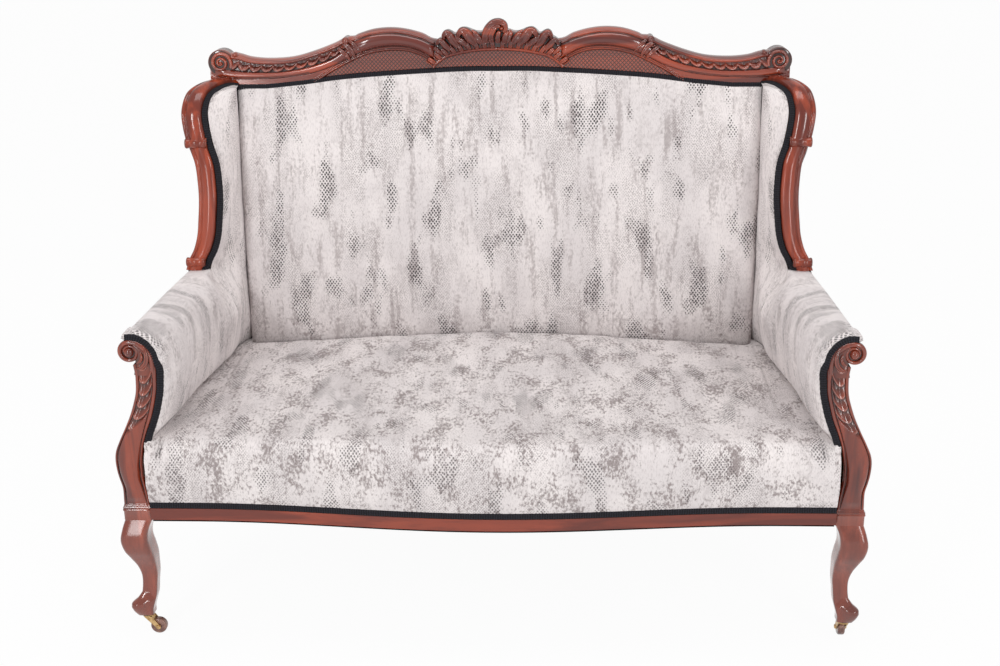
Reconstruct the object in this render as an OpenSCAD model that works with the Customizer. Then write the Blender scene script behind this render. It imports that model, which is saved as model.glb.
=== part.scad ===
// Two-seat show-wood sofa with a high winged back, scrolled arm posts and cabriole front legs.
// Millimetres. +X is to the right as seen from the front, +Y to the back, +Z up.
// The origin lies on the floor under the middle of the whole sofa.

/* [Overall] */
// Width over the bulge of the two arm posts
sofa_w = 1420; // [1400:5:1480]
// Depth from the bowed seat front to the rear caster wheels
sofa_d = 710; // [690:5:760]
// Height to the top of the crest's shell
sofa_h = 1138; // [1120:2:1160]

/* [Casters] */
// Diameter of a caster wheel
wheel_d = 32; // [28:1:34]
// Width of a caster wheel
wheel_w = 14; // [10:1:16]
// Distance from swivel axis to wheel axle
caster_trail = 21; // [19:0.5:24]
// Height from the floor to the bottom of a leg
caster_h = 45; // [43:1:54]
// Diameter of the axle rivet
axle_d = 5; // [4:0.5:6]
// Diameter of the swivel stem
stem_d = 8; // [6:0.5:10]
// Length of the stem inside its socket
stem_l = 36; // [28:1:44]
// Radial clearance of stem and wheel
run_fit = 0.05; // [0.03:0.01:0.08]
// Wall of the socket tube
socket_wall = 1.5; // [1:0.1:2]
// Thickness of the plate under each foot
plate_t = 2; // [1.5:0.1:2.5]
// Diameter of the plate under each foot
plate_d = 27; // [24:0.5:29]
// Thickness of the fork's cheeks
cheek_t = 2.4; // [1.8:0.1:3]

/* [Front legs] */
// Side of the square block where leg, post and rails meet
block_w = 54; // [50:1:58]
// Height of the block
block_h = 25; // [22:1:30]
// How far the block stands in from the widest point of the arm post
block_inset = 4; // [2:0.5:6]
// Height of a leg from foot to block
leg_h = 212; // [190:2:240]
// Width of the leg at its knee
knee_w = 52; // [48:1:56]
// How far the knee swells out along the diagonal, on each axis
knee_throw = 9; // [5:0.5:12]
// How far the pointed toe runs out
toe_l = 12; // [6:0.5:16]

/* [Rear legs] */
// Width of the back stile
stile_w = 45; // [40:1:48]
// Depth of the stile at the seat
stile_d = 50; // [46:1:56]
// Depth of the stile at its top
stile_top_d = 36; // [32:1:42]
// Side of the rear foot
rear_foot_w = 30; // [29:1:34]
// How far the rear wheels stand out behind the stiles
rear_kick = 42; // [38:1:50]
// Distance from the padded back's edge to the outer face of a stile
stile_reach = 70; // [64:1:74]

/* [Rails] */
// Thickness of the seat rails
rail_t = 28; // [24:1:32]
// Height of the seat rails
rail_h = 78; // [70:1:82]
// Height of the rails' underside over the bottom of the block
rail_lift = 5; // [5:0.5:8]
// Height of the show-wood strip under the braid
rail_reveal = 24; // [18:1:30]
// Depth of the rebate that takes cover and braid
rail_rebate = 3; // [2.8:0.1:5]
// How far the front rail stands in front of the posts
rail_proud = 8; // [5:0.5:12]
// How far the middle of the front rail bows out
seat_bow = 37; // [20:1:50]
// How far the side rails stand in from the block's outer face
side_set = 3; // [2:0.5:6]

/* [Arms] */
// Height of the top of the arms
arm_h = 637; // [620:1:650]
// Width of an arm post, outline overall
post_w = 110; // [108:0.5:112]
// Distance from the arm's top down to the top of its post
post_set = 12; // [11:0.5:15]
// Distance from the widest point of the post to the arm's outer edge, at the front
arm_front_set = 39; // [36:1:42]
// The same at the foot of the wing
arm_wing_set = 54; // [50:1:58]
// Height of the arm top rail
arm_rail_h = 26; // [22:1:30]
// Width of the arm top rail
arm_rail_w = 30; // [26:1:34]
// Thickness of the padding over the arm top rail
arm_pad = 20; // [16:1:24]
// Thickness of the padding on the outer side of the arm top rail
arm_side_pad = 4; // [3.5:0.1:5]
// How far the padded arm overhangs the seat seam at the front
arm_overhang = 37; // [34:1:40]
// The same at the back corner
arm_back_overhang = 25; // [18:1:26]
// Distance from the widest point of the post to the seat seam, at the front
seam_front_set = 70; // [68:0.5:72]
// Distance from the seam to the padded back's edge, at the back corner
corner_set = 27; // [26:0.5:30]
// Height of the lower arm rail
arm_low_h = 30; // [24:1:36]

/* [Wings] */
// Height of the top of the wing rail's bend over the stiles
wing_rise = 14; // [8:1:20]
// How far the wing rail reaches in front of the crest
wing_d = 155; // [145:1:165]
// How far the wing rail flares out from its joint at the crest
wing_flare = 57; // [52:1:60]
// Distance from the padded back's edge to the rail's joint at the crest
wing_reach = 29; // [27:0.5:32]
// Width of the wing rail
wing_rail_w = 40; // [36:1:42]
// Depth of the wing rail
wing_rail_t = 28; // [24:1:32]

/* [Crest] */
// How far each end of the crest reaches past the padded back
crest_reach = 65; // [60:1:70]
// Height of the crest from the stiles to the top of its shell
crest_h = 148; // [140:1:156]
// Thickness of the crest
crest_t = 38; // [34:1:40]
// Height of the crest's lower edge over the stiles, in the middle of the back
crest_rise = 48; // [47:1:54]
// How far that edge drops from the middle to the ends
crest_drop = 46; // [36:1:48]
// Radius of the end scrolls
scroll_r = 28; // [24:1:30]
// How far the end scrolls stand proud of the crest's face
scroll_proud = 3; // [1:0.5:6]
// Width of the shell in the middle of the crest
shell_w = 256; // [230:2:280]
// How far the shell's apron stands proud of the crest's face
shell_proud = 12; // [8:1:18]

/* [Seat] */
// Height of the seat at its rear corners
seat_h = 430; // [424:1:438]
// Height of the roll at the front edge
seat_front_h = 424; // [416:1:430]
// How far the middle of the seat is crowned
seat_crown = 32; // [20:1:40]
// How far the front face of the seat swells out
seat_swell = 10; // [6:1:14]
// Height of the coil springs
spring_h = 112; // [100:1:114]
// Outer diameter of a coil spring
spring_d = 88; // [70:1:96]
// Diameter of the spring wire
spring_wire = 4; // [3:0.2:5]
// Springs from side to side
spring_columns = 5; // [3:1:5]
// Springs from front to back
spring_rows = 2; // [1:1:2]

/* [Back] */
// Distance from the widest point of a post to the padded back
side_w = 155; // [150:1:160]
// Thickness of the padded back where it is fullest
back_pad = 62; // [52:1:66]
// Lowest point of the padded back
back_low = 400; // [396:1:410]
// Height of the lower back rail's top
back_rail_top = 505; // [495:1:520]
// Height of the lower back rail
back_rail_h = 50; // [44:1:56]
// Thickness of the lower back rail and the muntins
back_rail_t = 24; // [20:1:28]
// Width of a muntin
muntin_w = 40; // [30:1:50]
// Distance from the middle to each muntin
muntin_x = 190; // [150:5:230]

/* [Upholstery] */
// Thickness of the covers
cover_t = 2.2; // [1.5:0.1:2.4]
// Width of the braid
braid_w = 13; // [11:0.5:15]
// Thickness of the braid
braid_t = 4.5; // [3.5:0.1:5]
// Width of the webbing
webbing_w = 50; // [40:1:60]
// Thickness of the webbing
webbing_t = 2; // [1.5:0.1:2.2]
// Thickness of the hessian and the dust cover
hessian_t = 1.2; // [0.8:0.1:1.5]
// Clearance that soft pieces keep from their neighbours
soft_gap = 0.3; // [0.2:0.05:0.4]
// Clearance of stuffings from curved wood
soft_room = 1.2; // [0.8:0.1:1.6]
// Clearance between the seat's edge and the arms
seam_room = 3; // [2.5:0.1:4]
// Clearance between the wing's padding and the rounded side of its rail
wing_room = 3; // [2.5:0.1:4]

/* [Joinery] */
// Diameter of the frame dowels
dowel_d = 8; // [6:0.5:9]
// Length of the frame dowels
dowel_l = 36; // [30:1:40]
// Radial clearance of dowels, screws and sockets in their holes
hole_fit = 0.1; // [0.05:0.05:0.2]
// Leg of the corner blocks
brace_l = 86; // [80:1:96]
// Height of the corner blocks
brace_h = 44; // [38:1:50]
// Diameter of the corner block screws
screw_d = 4; // [3:0.5:5]
// Length of the corner block screws
screw_l = 38; // [34:1:40]

/* [Hidden] */
$fn = 48;
// Overrun of every cut
over = 1;

// Levels
crest_foot_h = sofa_h - crest_h;
crest_mid_h = crest_foot_h + crest_rise;
wing_top_h = crest_foot_h + wing_rise;
leg_top = caster_h + leg_h;
block_top = leg_top + block_h;
rail_low = leg_top + rail_lift;
rail_top = rail_low + rail_h;
reveal_top = rail_low + rail_reveal;
spring_low = rail_low + soft_gap;
spring_top = spring_low + spring_h;
post_top = arm_h - post_set;
arm_rail_top = arm_h - arm_pad;
arm_hem = arm_rail_top - webbing_t;
arm_pad_low = rail_top + rail_lift;

// Places from left to right, on the right half
half_w = sofa_w / 2;
back_half_w = half_w - side_w;
crest_w = 2 * (back_half_w + crest_reach);
seam_back_set = side_w - corner_set;
block_out = half_w - block_inset;
block_in = block_out - block_w;
block_mid = block_out - block_w / 2;
stile_out = back_half_w + stile_reach;
stile_in = stile_out - stile_w;
wing_joint_x = back_half_w + wing_reach;

// Places from front to back
front_y = -sofa_d / 2;
post_y = front_y + seat_swell + seat_bow + rail_proud;
block_back = post_y + block_w;
rear_y = sofa_d / 2 - rear_kick;
stile_y = rear_y - stile_d;
stile_top_y = rear_y - stile_top_d;
crest_y = rear_y - crest_t - webbing_t;
tongue_y = crest_y + rail_lift;
rear_foot_y = sofa_d / 2 - caster_trail - wheel_d / 2;
wing_y0 = crest_y - wing_d;
corner_share = 0.915;
corner_y = mix(post_y, stile_y, corner_share);
rear_rail_y = rear_y - side_set - rail_t;
arm_end = stile_y - 2 * webbing_t - soft_gap;

// General functions
function mix(a, b, t) = a + (b - a) * t;
function clamp01(t) = max(0, min(1, t));
function pick(p, i) = p[max(0, min(len(p) - 1, i))];
function blend4(a, b, c, d, t) =
    0.5 * (2 * b + (c - a) * t + (2 * a - 5 * b + 4 * c - d) * t * t + (3 * b - a - 3 * c + d) * t * t * t);
// Smooth curve through the points of a list, n steps from one to the next
function curve(p, n) = [
    for (i = [0:len(p) - 2], k = [0:n - 1]) blend4(pick(p, i - 1), p[i], p[i + 1], pick(p, i + 2), k / n),
    p[len(p) - 1]
];
function part_of(p, first, last) = [for (i = [first:last]) p[i]];
function reversed(p) = [for (i = [len(p) - 1:-1:0]) p[i]];
function column(p, key, value) = [for (q = p) [q[key], q[value]]];
function unit(v) = v / norm(v);
function side_normal(p, i) = let (t = unit(pick(p, i + 1) - pick(p, i - 1))) [t[1], -t[0]];
// The line moved by d to the right of its own direction
function shifted(p, d) = [for (i = [0:len(p) - 1]) p[i] + d * side_normal(p, i)];
function arc(c, r, a, b, n) = [for (i = [0:n]) let (t = mix(a, b, i / n)) c + r * [cos(t), sin(t)]];
function in_box(shares, corner, size) = [for (s = shares) [corner[0] + s[0] * size[0], corner[1] + s[1] * size[1]]];
function xz(p, y) = [for (q = p) [q[0], y, q[1]]];
function yz(p, x) = [for (q = p) [x, q[0], q[1]]];
function xy(p, z) = [for (q = p) [q[0], q[1], z]];

// Closed solid through a row of rings with equally many points. Between the ring's points first and last the
// diagonals of the faces run the other way, so that the two sides of a cover lie evenly apart
module loft(rings, flip = false, first = 0, last = -1, ends_last = false) {
    n = len(rings[0]);
    m = len(rings);
    foot = [for (k = [0:n - 1]) k];
    head = [for (k = [n - 1:-1:0]) (m - 1) * n + k];
    sides = [
        for (i = [0:m - 2], k = [0:n - 1])
            let (a = i * n + k, b = i * n + (k + 1) % n)
            each (k >= first && k <= last ? [[a, a + n, b], [b, a + n, b + n]] : [[a, b + n, b], [a, a + n, b + n]])
    ];
    faces = ends_last ? concat(sides, [foot, head]) : concat([foot], sides, [head]);
    polyhedron([for (r = rings) each r], flip ? [for (f = faces) reversed(f)] : faces, convexity = 8);
}

// Cover whose rings hold its outer line and then its inner line backwards
module skin(rings) loft(rings, false, len(rings[0]) / 2, len(rings[0]) - 2);

module both_sides() {
    children();
    mirror([1, 0, 0]) children();
}

// Plans and profiles that several pieces follow

// Bow of the seat front: 1 in the middle, 0 at the ends
bow_run_share = 0.86;
function bow(x) = pow(cos(90 * min(1, abs(x) / (block_in * bow_run_share))), 2);
function rail_face(x) = post_y - rail_proud - seat_bow * bow(x);

function side_out(y) = mix(block_out - side_set, stile_out, (y - block_back) / (stile_y - block_back));
function side_in(y) = side_out(y) - rail_t;

// Front faces of the back frame lean back from the seat to the crest
function frame_y(z) = mix(stile_y, stile_top_y, clamp01((z - rail_top) / (crest_foot_h - rail_top)));
function pad_back(z) = min(frame_y(z) - 2 * webbing_t, crest_y) - soft_gap;

// Outer edge of the arm's top, from front to back
arm_line = curve([
    [post_y, half_w - arm_front_set],
    [wing_y0, half_w - arm_wing_set],
    [stile_y, stile_out]
], 4);
function arm_out(y) = lookup(y, arm_line);

// Seam between seat and arm: share of the depth, share of the inset
seam_shares = [[0, 0], [0.16, 0.24], [0.43, 0.41], [0.66, 0.69], [0.78, 0.86], [corner_share, 1], [1, 1.36]];
seam_line = [
    for (s = seam_shares) [mix(post_y, stile_y, s[0]), half_w - mix(seam_front_set, seam_back_set, s[1])]
];
function seam(y) = lookup(y, seam_line);
function seam_back(x) = lookup(x, reversed(column(seam_line, 1, 0)));

// Swell of the inside arm over the seam: share of the height, share of the overhang
front_swell_shares = [
    [0, 0], [0.05, 0.35], [0.11, 0.54], [0.25, 0.73], [0.39, 0.89], [0.54, 1],
    [0.68, 1], [0.81, 0.89], [0.91, 0.65], [0.97, 0.28], [1, -0.2]
];
back_swell_shares = [[0, 0], [0.05, 0.2], [0.11, 0.4], [0.25, 0.72], [0.39, 0.9], [0.54, 1], [1, 1]];
function arm_in(h, y) =
    let (t = clamp01((y - wing_y0) / (corner_y - wing_y0)))
    max(
        back_half_w + 2 * soft_gap,
        seam(y) - mix(arm_overhang * lookup(h, front_swell_shares), arm_back_overhang * lookup(h, back_swell_shares), t)
    );

// Inner edge of the arm post, from the block up, and its outer edge down again
post_inner_shares = [
    [0.464, 0], [0.482, 0.08], [0.509, 0.19], [0.536, 0.29], [0.527, 0.34], [0.473, 0.4], [0.391, 0.475],
    [0.291, 0.555], [0.218, 0.635], [0.164, 0.715], [0.145, 0.78], [0.136, 0.85], [0.173, 0.92],
    [0.255, 0.968], [0.364, 0.994]
];
post_outer_shares = [
    [0.473, 1], [0.573, 1], [0.7, 0.962], [0.745, 0.927], [0.718, 0.892], [0.618, 0.869], [0.527, 0.848],
    [0.509, 0.81], [0.509, 0.767], [0.527, 0.7], [0.582, 0.636], [0.664, 0.563], [0.773, 0.487],
    [0.891, 0.411], [0.973, 0.35], [1, 0.297], [0.991, 0.236], [0.964, 0.187], [0.927, 0.12], [0.927, 0]
];
post_corner = [half_w - post_w, block_top];
post_size = [post_w, post_top - block_top];
post_inner = curve(in_box(post_inner_shares, post_corner, post_size), 2);
post_outer = curve(in_box(post_outer_shares, post_corner, post_size), 2);
function post_in(z) = lookup(z, column(post_inner, 1, 0));

// Middle line of the wing rail from the crest forward and down to the arm: flare, reach and height
wing_shares = [
    [0, 0.002, 0.99], [0.21, 0.18, 1], [0.49, 0.42, 0.99], [0.7, 0.61, 0.96], [0.79, 0.75, 0.89],
    [0.74, 0.81, 0.81], [0.6, 0.86, 0.71], [0.39, 0.9, 0.61], [0.32, 0.935, 0.5], [0.32, 0.955, 0.4],
    [0.39, 0.97, 0.29], [0.47, 0.98, 0.2], [0.63, 0.99, 0.12], [0.84, 1, 0.06], [1, 1, 0]
];
wing_path = curve([
    for (s = wing_shares) [
        wing_joint_x + wing_flare * s[0],
        crest_y - wing_d * s[1],
        mix(arm_h + soft_gap, wing_top_h, s[2])
    ]
], 2);
// The part of that line from its bend down, and the part from the crest to the bend
wing_down = part_of(wing_path, 4, len(wing_path) - 1);
wing_over = part_of(wing_path, 0, 8);
function wing_x(z) = lookup(z, column(wing_down, 2, 0));
function wing_y(z) = lookup(z, column(wing_down, 2, 1));
function wing_over_x(y) = lookup(y, column(wing_over, 1, 0));
// Back face of the wing rail, with room for its slope in the bend
rail_slope_share = 0.45;
function wing_rear(z) = wing_y(z + wing_rail_t * rail_slope_share) + wing_rail_t / 2 + soft_room;
// The rail's underside over the wing, where the padding behind it ends
under_rail_share = 0.9;
wing_under = wing_top_h - wing_rail_t * under_rail_share;

// Lower edge of the crest's show wood: share of the half width, share of the drop
low_edge_shares = [
    [0, 0], [0.11, 0], [0.25, 0.09], [0.39, 0.2], [0.53, 0.35], [0.67, 0.59], [0.81, 0.78], [0.88, 0.87], [1, 1]
];
low_edge = curve([for (s = low_edge_shares) [s[0] * crest_w / 2, crest_mid_h - crest_drop * s[1]]], 3);
function crest_edge(x) = lookup(abs(x), low_edge);
function crest_lip(x) = max(crest_foot_h, crest_edge(x) - braid_w);
function crest_tongue(x) = max(crest_foot_h, crest_edge(x) - 2 * braid_w);
function back_top(x) = crest_lip(x) - soft_gap;

// Thickness of the padded back: by share of its height, and by share of its half width
back_rise_shares = [
    [0, 0.62], [0.06, 0.72], [0.2, 0.94], [0.38, 1], [0.58, 0.88], [0.78, 0.62], [0.9, 0.36], [0.97, 0.16], [1, 0.1]
];
back_side_shares = [[0, 1], [0.75, 1], [0.88, 0.95], [0.95, 0.86], [0.985, 0.74], [1, 0.66]];
function back_front(x, h) =
    pad_back(mix(back_low, back_top(x), h))
    - back_pad * lookup(h, back_rise_shares) * lookup(abs(x) / back_half_w, back_side_shares);

// Height of the hessian over the springs: level in the middle, down to the rails at its edges
tray_in = rail_t + webbing_w / 2;
tray_back = rear_rail_y + rail_t / 2;
function tray_front(x) = rail_face(x) + rail_t / 2;
function tray_half(y) = seam(y) - 2 * over;
function tray_z(x, y) =
    let (a = (y - tray_front(x)) / tray_in, b = (tray_back - y) / tray_in, c = (tray_half(y) - abs(x)) / tray_in)
    mix(rail_top + soft_gap, spring_top + soft_gap, clamp01(min(a, b, c)));

// The seat pad's top: crowned across, and rising from the front roll to the back
crown_front_share = 0.35;
seam_dip_share = 0.25;
function seat_z(x, v) =
    mix(seat_front_h, seat_h, v)
    + seat_crown * (1 - pow(x / block_in, 2)) * mix(crown_front_share, 1, v)
    - seat_crown * seam_dip_share * pow(abs(x) / block_in, 12);
function seat_back_y(x) =
    abs(x) < back_half_w + soft_gap
        ? min([for (h = [0, 0.05, 0.1, 0.15]) back_front(x, h)]) - soft_gap
        : abs(x) < half_w - seam_front_set ? seam_back(abs(x) + seam_room) - soft_gap : post_y - over;

// Joinery: places and directions of the dowels on the right half
dowel_low = rail_low + rail_lift + dowel_d / 2;
dowel_high = rail_top - rail_t - 2 * over;
front_dowel_y = post_y + dowel_d;
side_dowel_x = side_out(block_back) - rail_t / 2;
stile_dowel_x = stile_out - rail_t / 2;
back_dowel_y = stile_y + side_set + back_rail_t / 2;
crest_dowel_y = crest_y + crest_t / 2;
crest_dowel_x = stile_in + dowel_d + over;
arm_rail_mid_front = arm_out(block_back) - arm_side_pad - arm_rail_w / 2;
arm_rail_mid_back = stile_out - arm_side_pad - arm_rail_w / 2;
arm_rail_mid_z = arm_rail_top - arm_rail_h / 2;
along_x = [0, 90, 0];
along_y = [-90, 0, 0];
along_z = [0, 0, 0];
dowel_spots = [
    [[block_in, front_dowel_y, dowel_low], along_x],
    [[block_in, front_dowel_y, dowel_high], along_x],
    [[side_dowel_x, block_back, dowel_low], along_y],
    [[side_dowel_x, block_back, dowel_high], along_y],
    [[stile_dowel_x, stile_y, dowel_low], along_y],
    [[stile_dowel_x, stile_y, dowel_high], along_y],
    [[stile_in, rear_rail_y + rail_t / 2, dowel_low], along_x],
    [[stile_in, rear_rail_y + rail_t / 2, dowel_high], along_x],
    [[stile_in, back_dowel_y, back_rail_top - back_rail_h / 4], along_x],
    [[stile_in, back_dowel_y, back_rail_top - back_rail_h * 3 / 4], along_x],
    [[crest_dowel_x, crest_dowel_y, crest_foot_h], along_z],
    [[stile_out - dowel_d - over, crest_dowel_y, crest_foot_h], along_z],
    [[block_mid, post_y + block_w / 2 + dowel_d, block_top], along_z],
    [[arm_rail_mid_front, block_back, arm_rail_mid_z], along_y],
    [[arm_rail_mid_back, stile_y, arm_rail_mid_z], along_y]
];
module dowels(grow = 0) {
    for (s = dowel_spots)
        translate(s[0]) rotate(s[1]) cylinder(d = dowel_d + 2 * grow, h = dowel_l + 2 * grow, center = true);
}

// Corner block screws: place of the joint face, direction into the rail
brace_z = rail_top - brace_h / 2 - over;
brace_front_y = rail_face(block_in) + rail_t + soft_gap;
brace_back_y = rear_rail_y - soft_gap;
screw_share = 0.6;
screw_run = brace_l * screw_share;
screw_head_d = 2 * screw_d;
into_rail = screw_l * screw_share;
screw_spots = [
    [[block_in - screw_run, brace_front_y, brace_z], [90, 0, 0]],
    [[side_in(brace_front_y + screw_run), brace_front_y + screw_run, brace_z], [0, 90, 0]],
    [[stile_in - screw_run, brace_back_y, brace_z], [-90, 0, 0]],
    [[side_in(brace_back_y - screw_run), brace_back_y - screw_run, brace_z], [0, 90, 0]]
];
module screws(grow = 0) {
    head_z = into_rail - screw_l;
    for (s = screw_spots)
        translate(s[0]) rotate(s[1]) {
            translate([0, 0, head_z]) cylinder(d = screw_d + 2 * grow, h = screw_l + grow);
            translate([0, 0, head_z - (grow > 0 ? brace_l : screw_d / 2)])
                cylinder(d = screw_head_d + 2 * grow, h = grow > 0 ? brace_l + grow : screw_d / 2);
        }
}
module drilled() {
    difference() {
        children();
        dowels(hole_fit);
        screws(hole_fit);
    }
}
module drilled_both() {
    difference() {
        children();
        both_sides() dowels(hole_fit);
        both_sides() screws(hole_fit);
    }
}

// Casters

socket_r = stem_d / 2 + run_fit + socket_wall;
foot_throw_share = 0.7;
foot_throw = knee_throw * foot_throw_share;
front_foot = [block_mid + foot_throw, post_y + block_w / 2 - foot_throw];
rear_foot = [(stile_in + stile_out) / 2, rear_foot_y];
// Place of each caster and the direction in which its wheel trails
caster_spots = [
    [-front_foot[0], front_foot[1], 0],
    [front_foot[0], front_foot[1], 90],
    [-rear_foot[0], rear_foot[1], 90],
    [rear_foot[0], rear_foot[1], 90]
];
fork_top = caster_h - plate_t - over;
crown_t = cheek_t * 1.5;
cheek_gap = 0.5 * socket_wall;
eye_r = axle_d;
module at_caster(i) {
    translate([caster_spots[i][0], caster_spots[i][1], 0]) rotate(caster_spots[i][2]) children();
}
module caster_sockets() {
    color("goldenrod")
        for (i = [0:3]) at_caster(i)
            difference() {
                union() {
                    translate([0, 0, caster_h - plate_t]) cylinder(d = plate_d, h = plate_t);
                    translate([0, 0, caster_h - plate_t]) cylinder(r = socket_r, h = stem_l + plate_t + socket_wall);
                }
                translate([0, 0, caster_h - plate_t - over])
                    cylinder(d = stem_d + 2 * run_fit, h = stem_l + plate_t + over);
            }
}
module caster_fork(i) {
    cheek_y = wheel_w / 2 + cheek_gap;
    crown_r = cheek_y + cheek_t;
    color("darkgoldenrod") at_caster(i)
        difference() {
            union() {
                translate([0, 0, fork_top - crown_t]) cylinder(r = crown_r, h = crown_t);
                translate([0, 0, fork_top - crown_t]) cylinder(d = stem_d, h = crown_t + stem_l + plate_t - over);
                for (s = [-1, 1])
                    translate([0, s * (cheek_y + cheek_t / 2), 0]) rotate([90, 0, 0])
                        linear_extrude(cheek_t, center = true) {
                            polygon([
                                [-crown_r / 2, fork_top - crown_t / 2],
                                [-crown_r / 2, fork_top - crown_t],
                                [caster_trail - eye_r, wheel_d / 2],
                                [caster_trail + eye_r, wheel_d / 2],
                                [crown_r, fork_top - crown_t],
                                [crown_r / 2, fork_top - crown_t / 2]
                            ]);
                            translate([caster_trail, wheel_d / 2]) circle(r = eye_r);
                        }
            }
            translate([caster_trail, 0, wheel_d / 2]) rotate([90, 0, 0])
                cylinder(d = axle_d, h = 2 * crown_r, center = true);
        }
}
module caster_axle(i) {
    reach = wheel_w / 2 + cheek_gap + cheek_t;
    color("goldenrod") at_caster(i)
        translate([caster_trail, 0, wheel_d / 2]) rotate([90, 0, 0]) {
            cylinder(d = axle_d, h = 2 * reach, center = true);
            for (s = [-1, 1])
                translate([0, 0, s * (reach + socket_wall / 2)])
                    cylinder(d = axle_d * 1.5, h = socket_wall, center = true);
        }
}
module caster_wheel(i) {
    bore_r = axle_d / 2 + run_fit;
    edge = wheel_w / 4;
    color("ivory") at_caster(i)
        translate([caster_trail, 0, wheel_d / 2]) rotate([90, 0, 0])
            rotate_extrude() polygon(concat(
                [[bore_r, -wheel_w / 2]],
                arc([wheel_d / 2 - edge, edge - wheel_w / 2], edge, -90, 0, 4),
                arc([wheel_d / 2 - edge, wheel_w / 2 - edge], edge, 0, 90, 4),
                [[bore_r, wheel_w / 2]]
            ));
}

// Frame

// Front leg from the foot up: share of the height, share of the throw, share of the knee's width
leg_shares = [
    [0, 0.7, 0.6], [0.08, 0.8, 0.66], [0.13, 0.8, 0.7], [0.19, 0.5, 0.73], [0.24, 0.1, 0.73], [0.31, -0.6, 0.68],
    [0.43, -1.1, 0.66], [0.53, -0.9, 0.76], [0.63, -0.2, 0.92], [0.73, 0.6, 0.98], [0.84, 1, 1],
    [0.92, 0.8, 0.97], [1, 0, 1.03]
];
// How far the toe runs out: share of the leg's height, share of the toe's length
toe_shares = [[0, 0.35], [0.06, 0.9], [0.12, 1], [0.17, 0.55], [0.24, 0]];
leg_squareness = 4;
function leg_radius(a, r) = r / pow(pow(abs(cos(a)), leg_squareness) + pow(abs(sin(a)), leg_squareness), 1 / leg_squareness);
module front_leg() {
    steps = 16;
    rings = [
        for (s = curve(leg_shares, 2))
            let (throw = s[1] * knee_throw, r = s[2] * knee_w / 2, toe = toe_l * lookup(s[0], toe_shares))
            [
                for (k = [0:steps - 1])
                    let (a = 360 * k / steps, out = leg_radius(a, r) + toe * pow(max(0, cos(a + 45)), 4))
                    [block_mid + throw + out * cos(a), post_y + block_w / 2 - throw + out * sin(a), caster_h + leg_h * s[0]]
            ]
    ];
    color([0.42, 0.16, 0.1]) drilled() difference() {
        union() {
            translate([block_in, post_y, leg_top]) cube([block_w, block_w, block_h]);
            loft(rings);
        }
        translate([front_foot[0], front_foot[1], caster_h - over])
            cylinder(r = socket_r + hole_fit, h = stem_l + socket_wall + 2 * over);
    }
}

module arm_post() {
    color([0.45, 0.17, 0.1]) drilled()
        translate([0, block_back, 0]) rotate([90, 0, 0])
            linear_extrude(block_w) polygon(concat(post_inner, post_outer));
}

module rear_leg() {
    knee_y = rear_foot_y - rear_foot_w / 2;
    front = curve([
        [knee_y, caster_h],
        [mix(stile_y, knee_y, 0.5), mix(caster_h, rail_low, 0.37)],
        [mix(stile_y, knee_y, 0.12), mix(caster_h, rail_low, 0.73)],
        [stile_y, rail_low]
    ], 4);
    rear = curve([
        [rear_y, rail_low],
        [rear_y, mix(caster_h, rail_low, 0.66)],
        [mix(rear_y, knee_y + rear_foot_w, 0.25), mix(caster_h, rail_low, 0.3)],
        [knee_y + rear_foot_w, caster_h]
    ], 4);
    side = concat(
        front,
        [[stile_y, rail_top], [stile_top_y, crest_foot_h], [rear_y, crest_foot_h], [rear_y, rail_top]],
        rear
    );
    foot_in = rear_foot[0] - rear_foot_w / 2;
    color([0.4, 0.15, 0.1]) drilled() difference() {
        intersection() {
            translate([stile_in, 0, 0]) rotate([90, 0, 90]) linear_extrude(stile_w) polygon(side);
            translate([0, rear_foot_y + rear_foot_w, 0]) rotate([90, 0, 0])
                linear_extrude(sofa_d) polygon([
                    [foot_in, caster_h],
                    [foot_in + rear_foot_w, caster_h],
                    [stile_out, rail_low],
                    [stile_out, crest_foot_h],
                    [stile_in, crest_foot_h],
                    [stile_in, rail_low]
                ]);
        }
        translate([rear_foot[0], rear_foot[1], caster_h - over])
            cylinder(r = socket_r + hole_fit, h = stem_l + socket_wall + 2 * over);
    }
}

bow_steps = 24;
function bow_line(half, inset) = [
    for (i = [-bow_steps:bow_steps]) let (x = half * i / bow_steps) [x, rail_face(x) + inset]
];
module front_rail() {
    half = block_in - over;
    color([0.5, 0.2, 0.13]) drilled_both() {
        translate([0, 0, rail_low]) linear_extrude(rail_reveal)
            polygon(concat(bow_line(half, 0), reversed(bow_line(half, rail_t))));
        translate([0, 0, reveal_top]) linear_extrude(rail_h - rail_reveal)
            polygon(concat(bow_line(half, rail_rebate), reversed(bow_line(half, rail_t))));
    }
}
module side_rail() {
    color([0.45, 0.18, 0.12]) drilled()
        translate([0, 0, rail_low]) linear_extrude(rail_h) polygon([
            [side_out(block_back), block_back],
            [side_out(stile_y), stile_y],
            [side_in(stile_y), stile_y],
            [side_in(block_back), block_back]
        ]);
}
module rear_rail() {
    color("tan") drilled_both()
        translate([-stile_in, rear_rail_y, rail_low]) cube([2 * stile_in, rail_t, rail_h]);
}
module lower_back_rail() {
    color("tan") drilled_both()
        translate([-stile_in, stile_y + side_set, back_rail_top - back_rail_h])
            cube([2 * stile_in, back_rail_t, back_rail_h]);
}
module back_muntins() {
    top = crest_tongue(muntin_x + muntin_w / 2) - soft_gap;
    color("burlywood") both_sides()
        translate([muntin_x - muntin_w / 2, 0, 0]) rotate([90, 0, 90]) linear_extrude(muntin_w) polygon([
            [frame_y(back_rail_top) + side_set, back_rail_top],
            [frame_y(top) + side_set, top],
            [frame_y(top) + side_set + back_rail_t, top],
            [frame_y(back_rail_top) + side_set + back_rail_t, back_rail_top]
        ]);
}
function arm_rail_edge(inset) = [
    for (i = [0:8]) let (y = mix(block_back, stile_y, i / 8)) [arm_out(y) - arm_side_pad - inset, y]
];
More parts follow.
